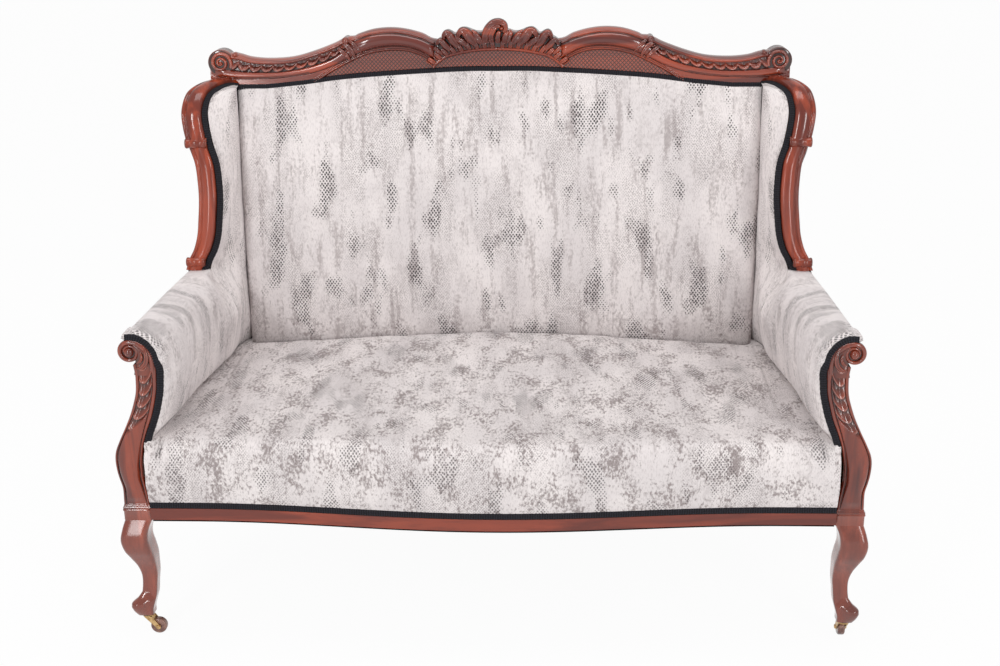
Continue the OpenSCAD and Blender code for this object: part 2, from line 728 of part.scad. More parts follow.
module arm_top_rail() {
    color("burlywood") drilled()
        translate([0, 0, arm_rail_top - arm_rail_h]) linear_extrude(arm_rail_h)
            polygon(concat(arm_rail_edge(0), reversed(arm_rail_edge(arm_rail_w))));
}
arm_low_t = arm_rail_w * 2 / 3;
function arm_low_in(y) = side_in(y) - arm_side_pad;
module arm_lower_rail() {
    front_x = post_in(arm_pad_low + arm_low_h) + over;
    back_x = stile_out - arm_low_t - over;
    color("burlywood")
        translate([0, 0, arm_pad_low]) linear_extrude(arm_low_h) polygon([
            [front_x, block_back],
            [front_x + arm_low_t, block_back],
            [back_x + arm_low_t, stile_y],
            [back_x, stile_y]
        ]);
}
module corner_blocks() {
    y1 = brace_front_y;
    y2 = brace_back_y;
    room = 2 * over;
    color("tan") both_sides() drilled() {
        translate([0, 0, brace_z - brace_h / 2]) linear_extrude(brace_h) polygon([
            [block_in - room - brace_l, y1],
            [block_in - room, y1],
            [block_in - room, block_back + soft_gap],
            [side_in(block_back) - soft_gap, block_back + soft_gap],
            [side_in(y1 + brace_l) - soft_gap, y1 + brace_l]
        ]);
        translate([0, 0, brace_z - brace_h / 2]) linear_extrude(brace_h) polygon([
            [stile_in - room - brace_l, y2],
            [stile_in - room, y2],
            [stile_in - room, stile_y - room],
            [side_in(stile_y - room) - soft_gap, stile_y - room],
            [side_in(y2 - brace_l) - soft_gap, y2 - brace_l]
        ]);
    }
}
module frame_dowels() {
    color("wheat") both_sides() dowels();
}
module block_screws() {
    color("silver") both_sides() screws();
}

// Wing rail: outline of its section, across and outward, in shares of its width and depth
wing_section_shares = [
    [-0.5, -0.5], [0.5, -0.5], [0.5, 0.15], [0.42, 0.36], [0.25, 0.47],
    [0, 0.5], [-0.25, 0.47], [-0.42, 0.36], [-0.5, 0.15]
];
// Rings of a section given across and outward, carried along the wing path
function along_wing(section) = [
    for (i = [0:len(wing_path) - 1])
        let (
            t = pick(wing_path, i + 1) - pick(wing_path, i - 1),
            outward = i == 0 ? [0, 0, 1] : unit([0, t[2], -t[1]])
        )
        [for (s = section) wing_path[i] + [s[0], 0, 0] + s[1] * outward]
];
module wing_rail() {
    color([0.47, 0.18, 0.1])
        loft(along_wing([for (s = wing_section_shares) [s[0] * wing_rail_w, s[1] * wing_rail_t]]));
}

// Crest outline, right half, from the scroll to the middle: shares of half width and of height
crest_box = [crest_w / 2, sofa_h - crest_foot_h];
scroll_c = [crest_w / 2 - scroll_r - rail_rebate, crest_foot_h + crest_box[1] * 0.39];
crest_end_shares = [[0.985, 0], [0.992, 0.12]];
crest_dip_shares = [
    [0.9, 0.52], [0.892, 0.51], [0.881, 0.48], [0.847, 0.44], [0.785, 0.419], [0.707, 0.439],
    [0.637, 0.514], [0.566, 0.622], [0.532, 0.689]
];
crest_arch_shares = [
    [0.49, 0.73], [0.473, 0.764], [0.424, 0.824], [0.368, 0.845], [0.314, 0.824], [0.259, 0.764], [0.219, 0.682]
];
small_scroll_share = [0.516, 0.684];
small_scroll_r = scroll_r * 0.28;
// Where the round of each scroll starts and ends, in degrees
scroll_turn = [-35, 140];
small_scroll_turn = [30, 150];
shell_seat_share = 0.662;
crest_corner = [0, crest_foot_h];
crest_upper = concat(
    in_box(crest_end_shares, crest_corner, crest_box),
    arc(scroll_c, scroll_r, scroll_turn[0], scroll_turn[1], 12),
    curve(in_box(crest_dip_shares, crest_corner, crest_box), 3),
    arc(crest_corner + [small_scroll_share[0] * crest_box[0], small_scroll_share[1] * crest_box[1]],
        small_scroll_r, small_scroll_turn[0], small_scroll_turn[1], 4),
    curve(in_box(crest_arch_shares, crest_corner, crest_box), 3)
);
shell_seat = crest_foot_h + crest_box[1] * shell_seat_share;
module crest_half(lower) {
    polygon(concat(
        [[0, lower[0][1]]],
        lower,
        crest_upper,
        [[shell_w / 2 + over, shell_seat], [0, shell_seat]]
    ));
}
function lower_line(kind) = [
    for (s = [0.1:0.1:0.9]) [s * crest_w / 2, kind == 0 ? crest_lip(s * crest_w / 2) : crest_tongue(s * crest_w / 2)]
];
module crest_rail() {
    color([0.4, 0.14, 0.09]) drilled_both() both_sides() {
        translate([0, crest_y + crest_t, 0]) rotate([90, 0, 0]) linear_extrude(crest_t)
            crest_half(lower_line(0));
        translate([0, crest_y + crest_t, 0]) rotate([90, 0, 0]) linear_extrude(crest_y + crest_t - tongue_y)
            crest_half(lower_line(1));
        translate([scroll_c[0], crest_y + over, scroll_c[1]]) rotate([90, 0, 0])
            cylinder(r = scroll_r * 0.9, h = scroll_proud + over);
    }
}
// Shell outline, right half, from the outer end to the middle, and the lower edge of its apron
shell_top_shares = [
    [1, 0.12], [0.94, 0.26], [0.92, 0.42], [0.86, 0.56], [0.79, 0.54], [0.72, 0.56], [0.64, 0.6], [0.56, 0.64],
    [0.49, 0.62], [0.41, 0.54], [0.32, 0.52], [0.24, 0.62], [0.16, 0.62], [0.15, 0.76], [0.11, 0.94], [0, 1]
];
apron_shares = [[0, -0.1], [0.34, -0.16], [0.62, -0.3], [0.85, -0.5], [1, -0.72]];
module crest_shell() {
    size = [shell_w / 2, sofa_h - shell_seat];
    corner = [0, shell_seat];
    top = curve(in_box(shell_top_shares, corner, size), 2);
    apron = in_box(apron_shares, corner, size);
    color([0.36, 0.12, 0.08]) both_sides() {
        translate([0, crest_y + crest_t, 0]) rotate([90, 0, 0]) linear_extrude(crest_t + shell_proud)
            polygon(concat([[0, shell_seat], [shell_w / 2, shell_seat]], top));
        translate([0, crest_y, 0]) rotate([90, 0, 0]) linear_extrude(shell_proud)
            polygon(concat(apron, [[shell_w / 2, shell_seat], [0, shell_seat]]));
    }
}

// Upholstery: what is hidden

strap_count = 2 * spring_columns - 1;
spring_span = back_half_w - spring_d;
spring_front = block_back + spring_d;
spring_back = corner_y - spring_d * 1.5;
function spring_x(i) = mix(-spring_span, spring_span, spring_columns > 1 ? i / (spring_columns - 1) : 0.5);
function spring_y(j) = mix(spring_front, spring_back, spring_rows > 1 ? j / (spring_rows - 1) : 0.5);
module seat_webbing() {
    cross_count = 2 * spring_rows + 1;
    color("khaki") {
        for (i = [0:strap_count - 1]) {
            x = mix(-spring_span, spring_span, i / (strap_count - 1));
            y1 = max(rail_face(x - webbing_w / 2), rail_face(x + webbing_w / 2)) + rail_t / 2;
            translate([x - webbing_w / 2, y1, rail_low - webbing_t])
                cube([webbing_w, rear_rail_y + rail_t / 2 - y1, webbing_t]);
        }
        for (j = [0:cross_count - 1]) {
            y = mix(spring_front - spring_d / 2, spring_back + spring_d / 2, j / (cross_count - 1));
            half = side_out(y + webbing_w / 2) - rail_t / 2;
            translate([-half, y - webbing_w / 2, rail_low - 2 * webbing_t])
                cube([2 * half, webbing_w, webbing_t]);
        }
    }
}
module back_webbing() {
    low = back_rail_top - back_rail_h + side_set;
    x_end = stile_in + stile_w * 0.4;
    color("khaki") {
        for (h = [0.2, 0.5, 0.8]) {
            z = mix(back_rail_top, crest_foot_h, h);
            a = [frame_y(z - webbing_w / 2), z - webbing_w / 2];
            b = [frame_y(z + webbing_w / 2), z + webbing_w / 2];
            translate([-x_end, 0, 0]) rotate([90, 0, 90]) linear_extrude(2 * x_end)
                polygon([a, b, b - [webbing_t, 0], a - [webbing_t, 0]]);
        }
        for (i = [-3:3]) {
            x = i * back_half_w / 4;
            top = min(crest_lip(abs(x) + webbing_w / 2), crest_lip(x)) - side_set;
            a = [frame_y(low) - webbing_t, low];
            b = [frame_y(top) - webbing_t, top];
            translate([x - webbing_w / 2, 0, 0]) rotate([90, 0, 90]) linear_extrude(webbing_w)
                polygon([a, b, b - [webbing_t, 0], a - [webbing_t, 0]]);
        }
    }
}
module coil_spring() {
    turns = 4;
    per_turn = 8;
    last = turns * per_turn;
    r = spring_d / 2 - spring_wire / 2;
    waist_share = 0.4;
    rings = [
        for (i = [0:last])
            let (
                a = 360 * i / per_turn,
                h = i / last,
                rr = r * (1 - waist_share * sin(180 * h)),
                z = mix(spring_wire / 2, spring_h - spring_wire / 2, h)
            )
            [
                for (k = [0:3])
                    let (b = 90 * k + 45, out = rr + spring_wire / 2 * cos(b))
                    [out * cos(a), out * sin(a), z + spring_wire / 2 * sin(b)]
            ]
    ];
    loft(rings, true);
}
module seat_springs() {
    color("silver")
        for (i = [0:spring_columns - 1], j = [0:spring_rows - 1])
            translate([spring_x(i), spring_y(j), spring_low]) coil_spring();
}
// Shares of the half width at which the hessian bends, from the middle out
tray_x_shares = [0, 0.25, 0.5, 0.75, 0.82, 0.87, 0.93, 0.975];
tray_rest_share = 0.76;
tray_fold_share = 0.4;
function tray_end(x) = x < tray_half(stile_y) ? tray_back : seam_back(x + 2 * over);
module spring_hessian() {
    half = block_in - 2 * over;
    outer = part_of(tray_x_shares, 1, len(tray_x_shares) - 1);
    rings = [
        for (u = concat([for (s = reversed(outer)) -s], tray_x_shares))
            let (
                x = u * half,
                y0 = tray_front(x),
                y1 = tray_end(abs(x)),
                fold = min(tray_in, (y1 - y0) * tray_fold_share),
                line = [
                    for (y = [y0, y0 + fold, mix(y0 + fold, y1 - fold, tray_rest_share), y1 - fold, y1])
                        [y, tray_z(x, y)]
                ]
            )
            yz(concat([for (p = line) p + [0, hessian_t]], reversed(line)), x)
    ];
    color("peru") skin(rings);
}
module dust_cover() {
    lap = rail_t * 0.75;
    low = rail_low - 2 * webbing_t - hessian_t;
    half = block_in - side_set;
    y1 = block_back + side_set;
    y2 = stile_y - side_set;
    color("dimgray") translate([0, 0, low]) linear_extrude(hessian_t) polygon(concat(
        bow_line(half, rail_t - lap),
        [
            [half, y1], [side_in(y1) + lap, y1], [side_in(y2) + lap, y2],
            [stile_in - side_set, y2], [stile_in - side_set, rear_rail_y + lap],
            [side_set - stile_in, rear_rail_y + lap], [side_set - stile_in, y2],
            [-side_in(y2) - lap, y2], [-side_in(y1) - lap, y1], [-half, y1]
        ]
    ));
}

// Upholstery: pads and covers

// Front face and roll of the seat: share of the swell, share of the height
seat_face_shares = [[0, 0], [-0.75, 0.2], [-1, 0.42], [-0.9, 0.68], [-0.4, 0.87]];
seat_hem = reveal_top + braid_w + soft_gap;
seat_depth_shares = [0.3, 0.5, 0.75, 0.95];
// The seat's surface in the plane at x, from the hem over the roll to the back and down
function seat_line(x) =
    let (
        y0 = rail_face(x),
        y1 = seat_back_y(x),
        d = y1 - y0,
        rise = seat_z(x, 0) - seat_hem,
        roll = min(rail_t, d * 0.25)
    )
    concat(
        [for (s = seat_face_shares) [y0 + s[0] * seat_swell, seat_hem + s[1] * rise]],
        [[y0 + roll * 0.4, seat_hem + rise * 0.97], [y0 + roll, seat_hem + rise]],
        [for (v = seat_depth_shares) [mix(y0, y1, v), seat_z(x, v)]],
        [[y1, seat_z(x, 1) - webbing_t], [y1, seat_h - 2 * braid_w]]
    );
seat_x_shares = [0, 0.1, 0.2, 0.4, 0.6, 0.75, 0.85, 0.9, 0.925, 0.95, 0.97, 0.985, 0.997];
seat_stations = concat(
    [for (s = reversed(part_of(seat_x_shares, 1, len(seat_x_shares) - 1))) -s],
    seat_x_shares
);
function seat_x(s) = s * (block_in - 2 * over);
// The stuffing ends where the cover closes in over the arm seams
stuffing_stations = part_of(seat_stations, 3, len(seat_stations) - 4);
stuffing_foot_share = 0.8;
module seat_cover() {
    rings = [
        for (s = reversed(seat_stations))
            let (line = seat_line(seat_x(s))) yz(concat(line, reversed(shifted(line, cover_t))), seat_x(s))
    ];
    color([0.8, 0.77, 0.75]) skin(rings);
}
module seat_stuffing() {
    rings = [
        for (s = reversed(stuffing_stations))
            let (
                x = seat_x(s),
                line = shifted(seat_line(x), cover_t + soft_gap),
                top = part_of(line, 2, len(line) - 1),
                y0 = top[0][0],
                y1 = top[len(top) - 1][0],
                level = spring_top + hessian_t + 2 * soft_gap,
                base = [[y1, level], [tray_front(x) + tray_in * stuffing_foot_share, level]]
            )
            yz(concat([[y0 + 2 * over, rail_top + hessian_t + 2 * soft_gap]], part_of(top, 1, len(top) - 2), base), x)
    ];
    color("peru") loft(rings);
}

back_levels = [0, 0.06, 0.14, 0.26, 0.4, 0.56, 0.72, 0.84, 0.93, 1];
back_x_shares = [0, 0.25, 0.5, 0.75, 0.88, 0.95, 0.985, 1];
back_stations = concat(
    [for (s = reversed(part_of(back_x_shares, 1, len(back_x_shares) - 1))) -s],
    back_x_shares
);
function back_line(x) = [for (h = back_levels) [back_front(x, h), mix(back_low, back_top(x), h)]];
module back_cover() {
    rings = [
        for (s = reversed(back_stations))
            let (x = s * back_half_w, line = back_line(x)) yz(concat(line, reversed(shifted(line, cover_t))), x)
    ];
    color([0.8, 0.77, 0.75]) skin(rings);
}
module back_stuffing() {
    rings = [
        for (s = reversed(back_stations))
            let (x = s * back_half_w, line = shifted(back_line(x), cover_t + soft_gap))
            yz(concat(line, [for (z = [back_top(x), back_low]) [pad_back(z), z]]), x)
    ];
    color("peru") loft(rings);
}

arm_levels = [0.05, 0.11, 0.25, 0.39, 0.54, 0.68, 0.81, 0.91, 0.97, 1];
// Top of the arm over the post: share of the way from the inner crown to the outer edge, and of post_set
arm_post_top_shares = [[0.3, -0.05], [0.6, -0.25], [0.85, -0.65], [1, -1.1]];
// The same behind the post, in shares of the arm's padding
arm_free_top_shares = [[0.4, 0], [0.8, -0.05], [0.96, -0.35], [1, -1.1]];
function arm_surface(y) =
    let (
        beside_post = y < block_back ? 1 : 0,
        x0 = arm_in(1, y),
        x1 = beside_post == 1 ? half_w - post_w * 0.31 : arm_out(y),
        drop = beside_post == 1 ? post_set : arm_pad,
        shares = beside_post == 1 ? arm_post_top_shares : arm_free_top_shares
    )
    concat(
        [[seam(y), arm_pad_low], [seam(y), seat_h]],
        [for (h = arm_levels) [arm_in(h, y), mix(seat_h, arm_h, h)]],
        [for (s = shares) [mix(x0, x1, s[0]), arm_h + s[1] * drop]]
    );
// The line just over the head of the arm post
post_head_shares = [[0.573, 1], [0.473, 1], [0.364, 0.998], [0.243, 0.969]];
over_post = [for (s = in_box(post_head_shares, post_corner, post_size)) s + [0, soft_room]];
function arm_base(y) =
    let (
        rail_x = arm_out(y) - arm_side_pad,
        levels = [0.86, 0.78, 0.7, 0.6, 0.5, 0.3, 0.12, 0],
        h = arm_h - arm_pad_low
    )
    y < block_back
        ? concat(
            [[half_w - post_w * 0.33, arm_h - post_set * 1.3]],
            over_post,
            [for (v = levels) let (z = arm_pad_low + v * h) [post_in(z) - soft_room, z]]
        )
        : concat(
            [[rail_x + soft_room, arm_hem], [rail_x + soft_room, arm_rail_top + soft_gap]],
            [[rail_x - arm_rail_w - soft_room, arm_rail_top + soft_gap]],
            [[rail_x - arm_rail_w - soft_room, arm_rail_top - arm_rail_h]],
            [for (v = levels)
                [mix(seam(y) + arm_pad / 2, rail_x - arm_rail_w, v) - soft_room, arm_pad_low + v * h * 0.9]]
        );
arm_front = post_y + rail_lift;
// Places of the rings from front to back: beside the post, and behind it
arm_split = soft_gap / 2;
arm_post_stations = [arm_front, mix(arm_front, block_back, 0.5), block_back - arm_split];
arm_free_stations = [
    block_back + arm_split, mix(block_back, wing_y0, 0.25), mix(block_back, wing_y0, 0.6), wing_y0,
    mix(wing_y0, corner_y, 0.35), mix(wing_y0, corner_y, 0.7), corner_y, arm_end
];
module arm_cover() {
    color([0.8, 0.77, 0.75])
        for (stations = [arm_post_stations, arm_free_stations])
            skin([for (y = stations) let (line = arm_surface(y)) xz(concat(line, reversed(shifted(line, cover_t))), y)]);
}
module arm_stuffing() {
    color("peru")
        for (stations = [arm_post_stations, arm_free_stations])
            loft([
                for (y = stations)
                    let (line = shifted(arm_surface(y), cover_t + soft_gap)) xz(concat(line, arm_base(y)), y)
            ]);
}

wing_levels = [0, 0.1, 0.22, 0.35, 0.48, 0.61, 0.73, 0.83, 0.91, 1];
wing_run_shares = [[0, 0], [0.12, 0.08], [0.4, 0.36], [0.75, 0.74], [0.93, 0.95], [1, 1]];
function wing_inner(z) =
    let (
        x0 = back_half_w + 2 * soft_gap,
        y0 = corner_y,
        x1 = wing_x(z) - wing_rail_w / 2 - braid_w,
        y1 = wing_y(z) + soft_gap
    )
    concat(
        [[x0, pad_back(z)]],
        [for (s = wing_run_shares) [mix(x0, x1, s[1]), mix(y0, y1, s[0])]],
        [[x1 + braid_w - wing_room, y1]]
    );
// Outer skin of the wing, from the rail to the back edge of the stile
function wing_outer(z) =
    let (x = wing_x(z) + wing_rail_w / 2 - over, y = wing_rear(z), x1 = stile_out + soft_gap + cover_t)
    [[x, y], [mix(x, x1, 0.55), mix(y, stile_y, 0.5)], [x1, stile_y], [x1, rear_y]];
module wing_cover() {
    rings = [
        for (h = wing_levels)
            let (z = mix(arm_h + soft_gap, wing_under, h), line = wing_inner(z))
            xy(concat(line, reversed(shifted(line, -cover_t))), z)
    ];
    color([0.8, 0.77, 0.75]) skin(rings);
}
module wing_stuffing() {
    rings = [
        for (h = wing_levels)
            let (
                z = mix(arm_h + soft_gap, wing_under, h),
                line = shifted(wing_inner(z), -cover_t - soft_gap),
                last = len(line) - 1,
                edge = wing_x(z) - wing_rail_w / 2 - wing_room,
                skin = shifted(wing_outer(z), -cover_t - soft_gap)
            )
            xy(concat(
                part_of(line, 0, last - 1),
                [[edge, line[last - 1][1] + soft_gap], [edge, wing_rear(z)]],
                [skin[0], skin[1], [skin[2][0], min(pad_back(z), stile_y)]]
            ), z)
    ];
    color("peru") loft(rings);
}

outside_levels = [0, 0.2, 0.45, 0.7, 0.88, 1];
// Ring of a cover of even width, inward from an outer line that runs to the back
function skin_ring(line) = concat([for (q = reversed(line)) q - [cover_t, 0]], line);
module outer_skin(rings) loft(rings, false, 0, len(rings[0]) / 2 - 2, true);
module outside_panel() {
    rest = rail_top + soft_gap;
    arm_x = function (y, h) mix(side_out(y) + soft_gap + cover_t, arm_out(y), h);
    stations = [for (s = [0, 0.25, 0.5, 0.75, 0.875, 1]) mix(block_back + soft_gap, stile_y, s)];
    ring = function (z, h) let (line = concat(
            [for (y = stations) [y < stile_y - over ? arm_x(y, h) : stile_out + soft_gap + cover_t, y]],
            [[stile_out + soft_gap + cover_t, rear_y]]
        )) xy(skin_ring(line), z);
    arm_rings = concat(
        [ring(reveal_top, 0)],
        [for (h = outside_levels) ring(mix(rest, arm_hem - 2 * soft_gap, h), h)]
    );
    wing_rings = [
        for (h = wing_levels)
            let (z = mix(arm_h + soft_gap, wing_under, h), line = wing_outer(z))
            xy(skin_ring(line), z)
    ];
    color([0.78, 0.75, 0.73]) {
        outer_skin(arm_rings);
        outer_skin(wing_rings);
    }
}
module outside_back() {
    half = stile_out + cover_t + soft_gap;
    reach = stile_in - over;
    top = [for (i = [-8:8]) let (x = reach * i / 8) [x, crest_tongue(x) + side_set]];
    color([0.78, 0.75, 0.73])
        translate([0, rear_y + soft_gap + cover_t, 0]) rotate([90, 0, 0]) linear_extrude(cover_t)
            polygon(concat(
                [[half, reveal_top], [-half, reveal_top], [-half, crest_foot_h - over]],
                [[-reach, crest_foot_h - over]],
                top,
                [[reach, crest_foot_h - over], [half, crest_foot_h - over]]
            ));
}

// Braid

// From the wing rail's middle line to the far edge of its braid
wing_braid_reach = wing_rail_w / 2 + soft_gap + braid_w - over;
module seat_braid() {
    half = block_in - 2 * over;
    color([0.14, 0.14, 0.18]) translate([0, 0, reveal_top]) linear_extrude(braid_w)
        polygon(concat(
            bow_line(half, rail_rebate - soft_gap - braid_t),
            reversed(bow_line(half, rail_rebate - soft_gap))
        ));
}
module back_braid() {
    half = wing_joint_x - wing_braid_reach - soft_gap;
    xs = [for (i = [-16:16]) half * i / 16];
    color([0.14, 0.14, 0.18])
        translate([0, crest_y, 0]) rotate([90, 0, 0]) linear_extrude(braid_t)
            polygon(concat(
                [for (x = xs) [x, crest_lip(x)]],
                reversed([for (x = xs) [x, crest_lip(x) + braid_w]])
            ));
}
module arm_braids() {
    surface = arm_surface(arm_front);
    fabric = part_of(surface, 1, len(surface) - 1);
    wood = [for (p = post_inner) if (p[1] > seat_h && p[0] < half_w - post_w * 0.7) p - [2 * soft_gap, 0]];
    color([0.14, 0.14, 0.18]) both_sides()
        translate([0, arm_front - soft_gap, 0]) rotate([90, 0, 0]) linear_extrude(braid_t)
            polygon(concat(
                fabric,
                [[half_w - post_w * 0.33, arm_h - post_set * 1.15]],
                over_post,
                reversed(wood)
            ));
}
module wing_braids() {
    x1 = -wing_rail_w / 2 - soft_gap;
    x0 = -wing_braid_reach;
    color([0.14, 0.14, 0.18]) both_sides()
        loft(along_wing([[x0, 0], [x1, 0], [x1, braid_t], [x0, braid_t]]));
}

crest_rail();
crest_shell();
mirror([1, 0, 0]) wing_rail();  // wing_rail_left
wing_rail();  // wing_rail_right
mirror([1, 0, 0]) arm_post();  // arm_post_left
arm_post();  // arm_post_right
mirror([1, 0, 0]) front_leg();  // front_leg_left
front_leg();  // front_leg_right
mirror([1, 0, 0]) rear_leg();  // rear_leg_left
rear_leg();  // rear_leg_right
front_rail();
mirror([1, 0, 0]) side_rail();  // side_rail_left
side_rail();  // side_rail_right
rear_rail();
lower_back_rail();
back_muntins();
mirror([1, 0, 0]) arm_top_rail();  // arm_top_rail_left
arm_top_rail();  // arm_top_rail_right
mirror([1, 0, 0]) arm_lower_rail();  // arm_lower_rail_left
arm_lower_rail();  // arm_lower_rail_right
corner_blocks();
frame_dowels();
block_screws();
seat_webbing();
back_webbing();
seat_springs();
spring_hessian();
dust_cover();
seat_stuffing();
seat_cover();
back_stuffing();
back_cover();
mirror([1, 0, 0]) arm_stuffing();  // arm_stuffing_left
arm_stuffing();  // arm_stuffing_right
mirror([1, 0, 0]) arm_cover();  // arm_cover_left
arm_cover();  // arm_cover_right
mirror([1, 0, 0]) wing_stuffing();  // wing_stuffing_left
wing_stuffing();  // wing_stuffing_right
mirror([1, 0, 0]) wing_cover();  // wing_cover_left
wing_cover();  // wing_cover_right
mirror([1, 0, 0]) outside_panel();  // outside_panel_left
outside_panel();  // outside_panel_right
outside_back();
seat_braid();
back_braid();
arm_braids();
wing_braids();
caster_sockets();
caster_fork(0);  // caster_fork_front_left
caster_fork(1);  // caster_fork_front_right
caster_fork(2);  // caster_fork_rear_left
caster_fork(3);  // caster_fork_rear_right
caster_axle(0);  // caster_axle_front_left
caster_axle(1);  // caster_axle_front_right
caster_axle(2);  // caster_axle_rear_left
caster_axle(3);  // caster_axle_rear_right
caster_wheel(0);  // caster_wheel_front_left
caster_wheel(1);  // caster_wheel_front_right
caster_wheel(2);  // caster_wheel_rear_left
caster_wheel(3);  // caster_wheel_rear_right
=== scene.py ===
import bpy
import math
import numpy as np
from mathutils import Vector, Matrix


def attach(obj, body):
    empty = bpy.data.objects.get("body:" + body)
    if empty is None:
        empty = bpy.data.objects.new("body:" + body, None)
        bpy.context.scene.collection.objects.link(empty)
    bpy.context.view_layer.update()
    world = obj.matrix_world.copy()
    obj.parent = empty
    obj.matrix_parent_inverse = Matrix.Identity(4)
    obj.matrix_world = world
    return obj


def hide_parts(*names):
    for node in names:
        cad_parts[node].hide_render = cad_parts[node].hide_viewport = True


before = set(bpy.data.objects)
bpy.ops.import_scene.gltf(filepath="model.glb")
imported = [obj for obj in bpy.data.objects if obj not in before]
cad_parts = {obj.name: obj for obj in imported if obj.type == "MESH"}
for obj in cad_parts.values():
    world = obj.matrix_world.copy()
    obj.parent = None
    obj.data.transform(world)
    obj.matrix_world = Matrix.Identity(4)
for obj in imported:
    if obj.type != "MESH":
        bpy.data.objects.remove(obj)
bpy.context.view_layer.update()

# Cabriole sofa: cloth, braid, carving, looks, camera and lamps over the part's solids.
# Lengths are in mm until a mesh is made. x runs to the right seen from the front, y to the back, z up.

# Sizes of frame and covers, as in the part's source
BLOCK_IN, BLOCK_MID = 652.0, 679.0
STILE_OUT = 625.0
POST_Y, BLOCK_BACK = -300.0, -246.0
STILE_Y, STILE_TOP_Y, REAR_Y = 263.0, 277.0, 313.0
CREST_Y, CREST_T = 273.0, 38.0
WING_Y0 = 118.0
CORNER_Y = 215.1
CASTER_H = 45.0
RAIL_LOW, REVEAL_TOP, RAIL_TOP = 262.0, 286.0, 340.0
ARM_H, ARM_HEM = 637.0, 615.0
SEAT_H, SEAT_FRONT_H, SEAT_CROWN, SEAT_SWELL = 430.0, 424.0, 32.0, 10.0
BACK_HALF, BACK_PAD, BACK_LOW = 555.0, 62.0, 400.0
CREST_FOOT = 990.0
BRAID_W = 13.0
# sizes of the visible surfaces alone
RAIL_BOW, RAIL_BOW_HALF = 37.0, 560.7
LEG_Y = POST_Y + 27
WING_BACK_Y = 256.0
WING_INSET = 20 + BRAID_W - 3
SEAT_LOW = 299.0
BRAID_STEP, BRAID_PITCH = 0.85, 4.6
TURN_IN = 5.0
HEM_HALF = 649.0
ROOT = "frame"


def mix(a, b, t):
    return a + (b - a) * t


def smooth(t):
    t = np.clip(t, 0.0, 1.0)
    return t * t * (3 - 2 * t)


def spline(points, n):
    """Catmull-Rom curve through points, n steps from one to the next."""
    p = np.asarray(points, float)
    if p.ndim == 1:
        p = p[:, None]
    q = np.vstack([p[:1], p, p[-1:]])
    out = []
    for i in range(len(p) - 1):
        a, b, c, d = q[i], q[i + 1], q[i + 2], q[i + 3]
        for k in range(n):
            t = k / n
            square, cube = 2 * a - 5 * b + 4 * c - d, 3 * b - a - 3 * c + d
            out.append(0.5 * (2 * b + (c - a) * t + square * t * t + cube * t ** 3))
    out.append(p[-1])
    return np.array(out)


def waves(u, v, *terms):
    """Sum of wobbles, each given as (height, seed, size)."""
    return sum(height * wobble(u, v, seed, size) for height, seed, size in terms)


def run_length(p):
    """Length along a polyline from its start to each of its points."""
    return np.concatenate([[0], np.cumsum(np.linalg.norm(np.diff(p, axis=0), axis=1))])


def unit(v):
    """Rows of v scaled to length 1."""
    return v / np.linalg.norm(v, axis=1)[:, None]


def join(*parts):
    """The parts side by side along a new last axis. A single number is repeated."""
    return np.stack(np.broadcast_arrays(*parts), -1)


def line_at(x, line):
    """Second column of a table at x of the first."""
    return np.interp(x, line[:, 0], line[:, 1])


def even(points, n):
    """The polyline resampled to n points at even distances."""
    p = np.asarray(points, float)
    s = run_length(p)
    t = np.linspace(0, s[-1], n)
    return np.stack([np.interp(t, s, p[:, k]) for k in range(p.shape[1])], 1)


def rail_face(x):
    """Front of the serpentine rail at x."""
    return POST_Y - 8 - RAIL_BOW * np.cos(np.radians(90 * np.minimum(1, np.abs(x) / RAIL_BOW_HALF))) ** 2


def side_out(y):
    """Outer face of the side rail."""
    return mix(703.0, STILE_OUT, (y - BLOCK_BACK) / (STILE_Y - BLOCK_BACK))


def frame_y(z):
    """Front of the leaning back frame."""
    return mix(STILE_Y, STILE_TOP_Y, np.clip((z - RAIL_TOP) / (CREST_FOOT - RAIL_TOP), 0, 1))


def pad_back(z):
    """Back face of the padding of the back."""
    return np.minimum(frame_y(z) - 4, CREST_Y) - 0.3


ARM_LINE = spline([[-300, 671], [118, 656], [263, 625]], 12)
SEAM_LINE = spline([[-300, 640], [-209.9, 626.1], [-57.9, 616.2], [71.6, 600], [139.1, 590.1], [215.1, 582],
                    [263, 561.1]], 8)
LOW_EDGE = spline([[0, 1038], [68.2, 1038], [155, 1033.9], [241.8, 1028.8], [328.6, 1021.9],
                   [415.4, 1010.9], [502.2, 1002.1], [545.6, 998], [620, 992]], 6)


def arm_out(y):
    """Outer edge of the arm's top."""
    return line_at(y, ARM_LINE)


def seam(y):
    """Where the arm and the seat meet."""
    return line_at(y, SEAM_LINE)


def crest_edge(x):
    """Lower edge of the crest."""
    return line_at(np.abs(x), LOW_EDGE)


def back_top(x):
    """Top of the padded back, just over the crest's lower edge."""
    return np.maximum(CREST_FOOT, crest_edge(x) - BRAID_W) + 4


WING_PATH = spline([[584, 272, 1000.3], [596, 245, 1004], [611.9, 207.9, 1000.3], [623.9, 178.5, 989.3],
                    [629, 156.8, 963.7], [626.2, 147.5, 934.3], [618.2, 139.7, 897.7], [606.2, 133.5, 861],
                    [602.2, 128.1, 820.7], [602.2, 125, 784], [606.2, 122.7, 743.7], [610.8, 121.1, 710.6],
                    [619.9, 119.6, 681.3], [631.9, 118, 659.3], [641, 118, 637.3]], 6)

# Making meshes


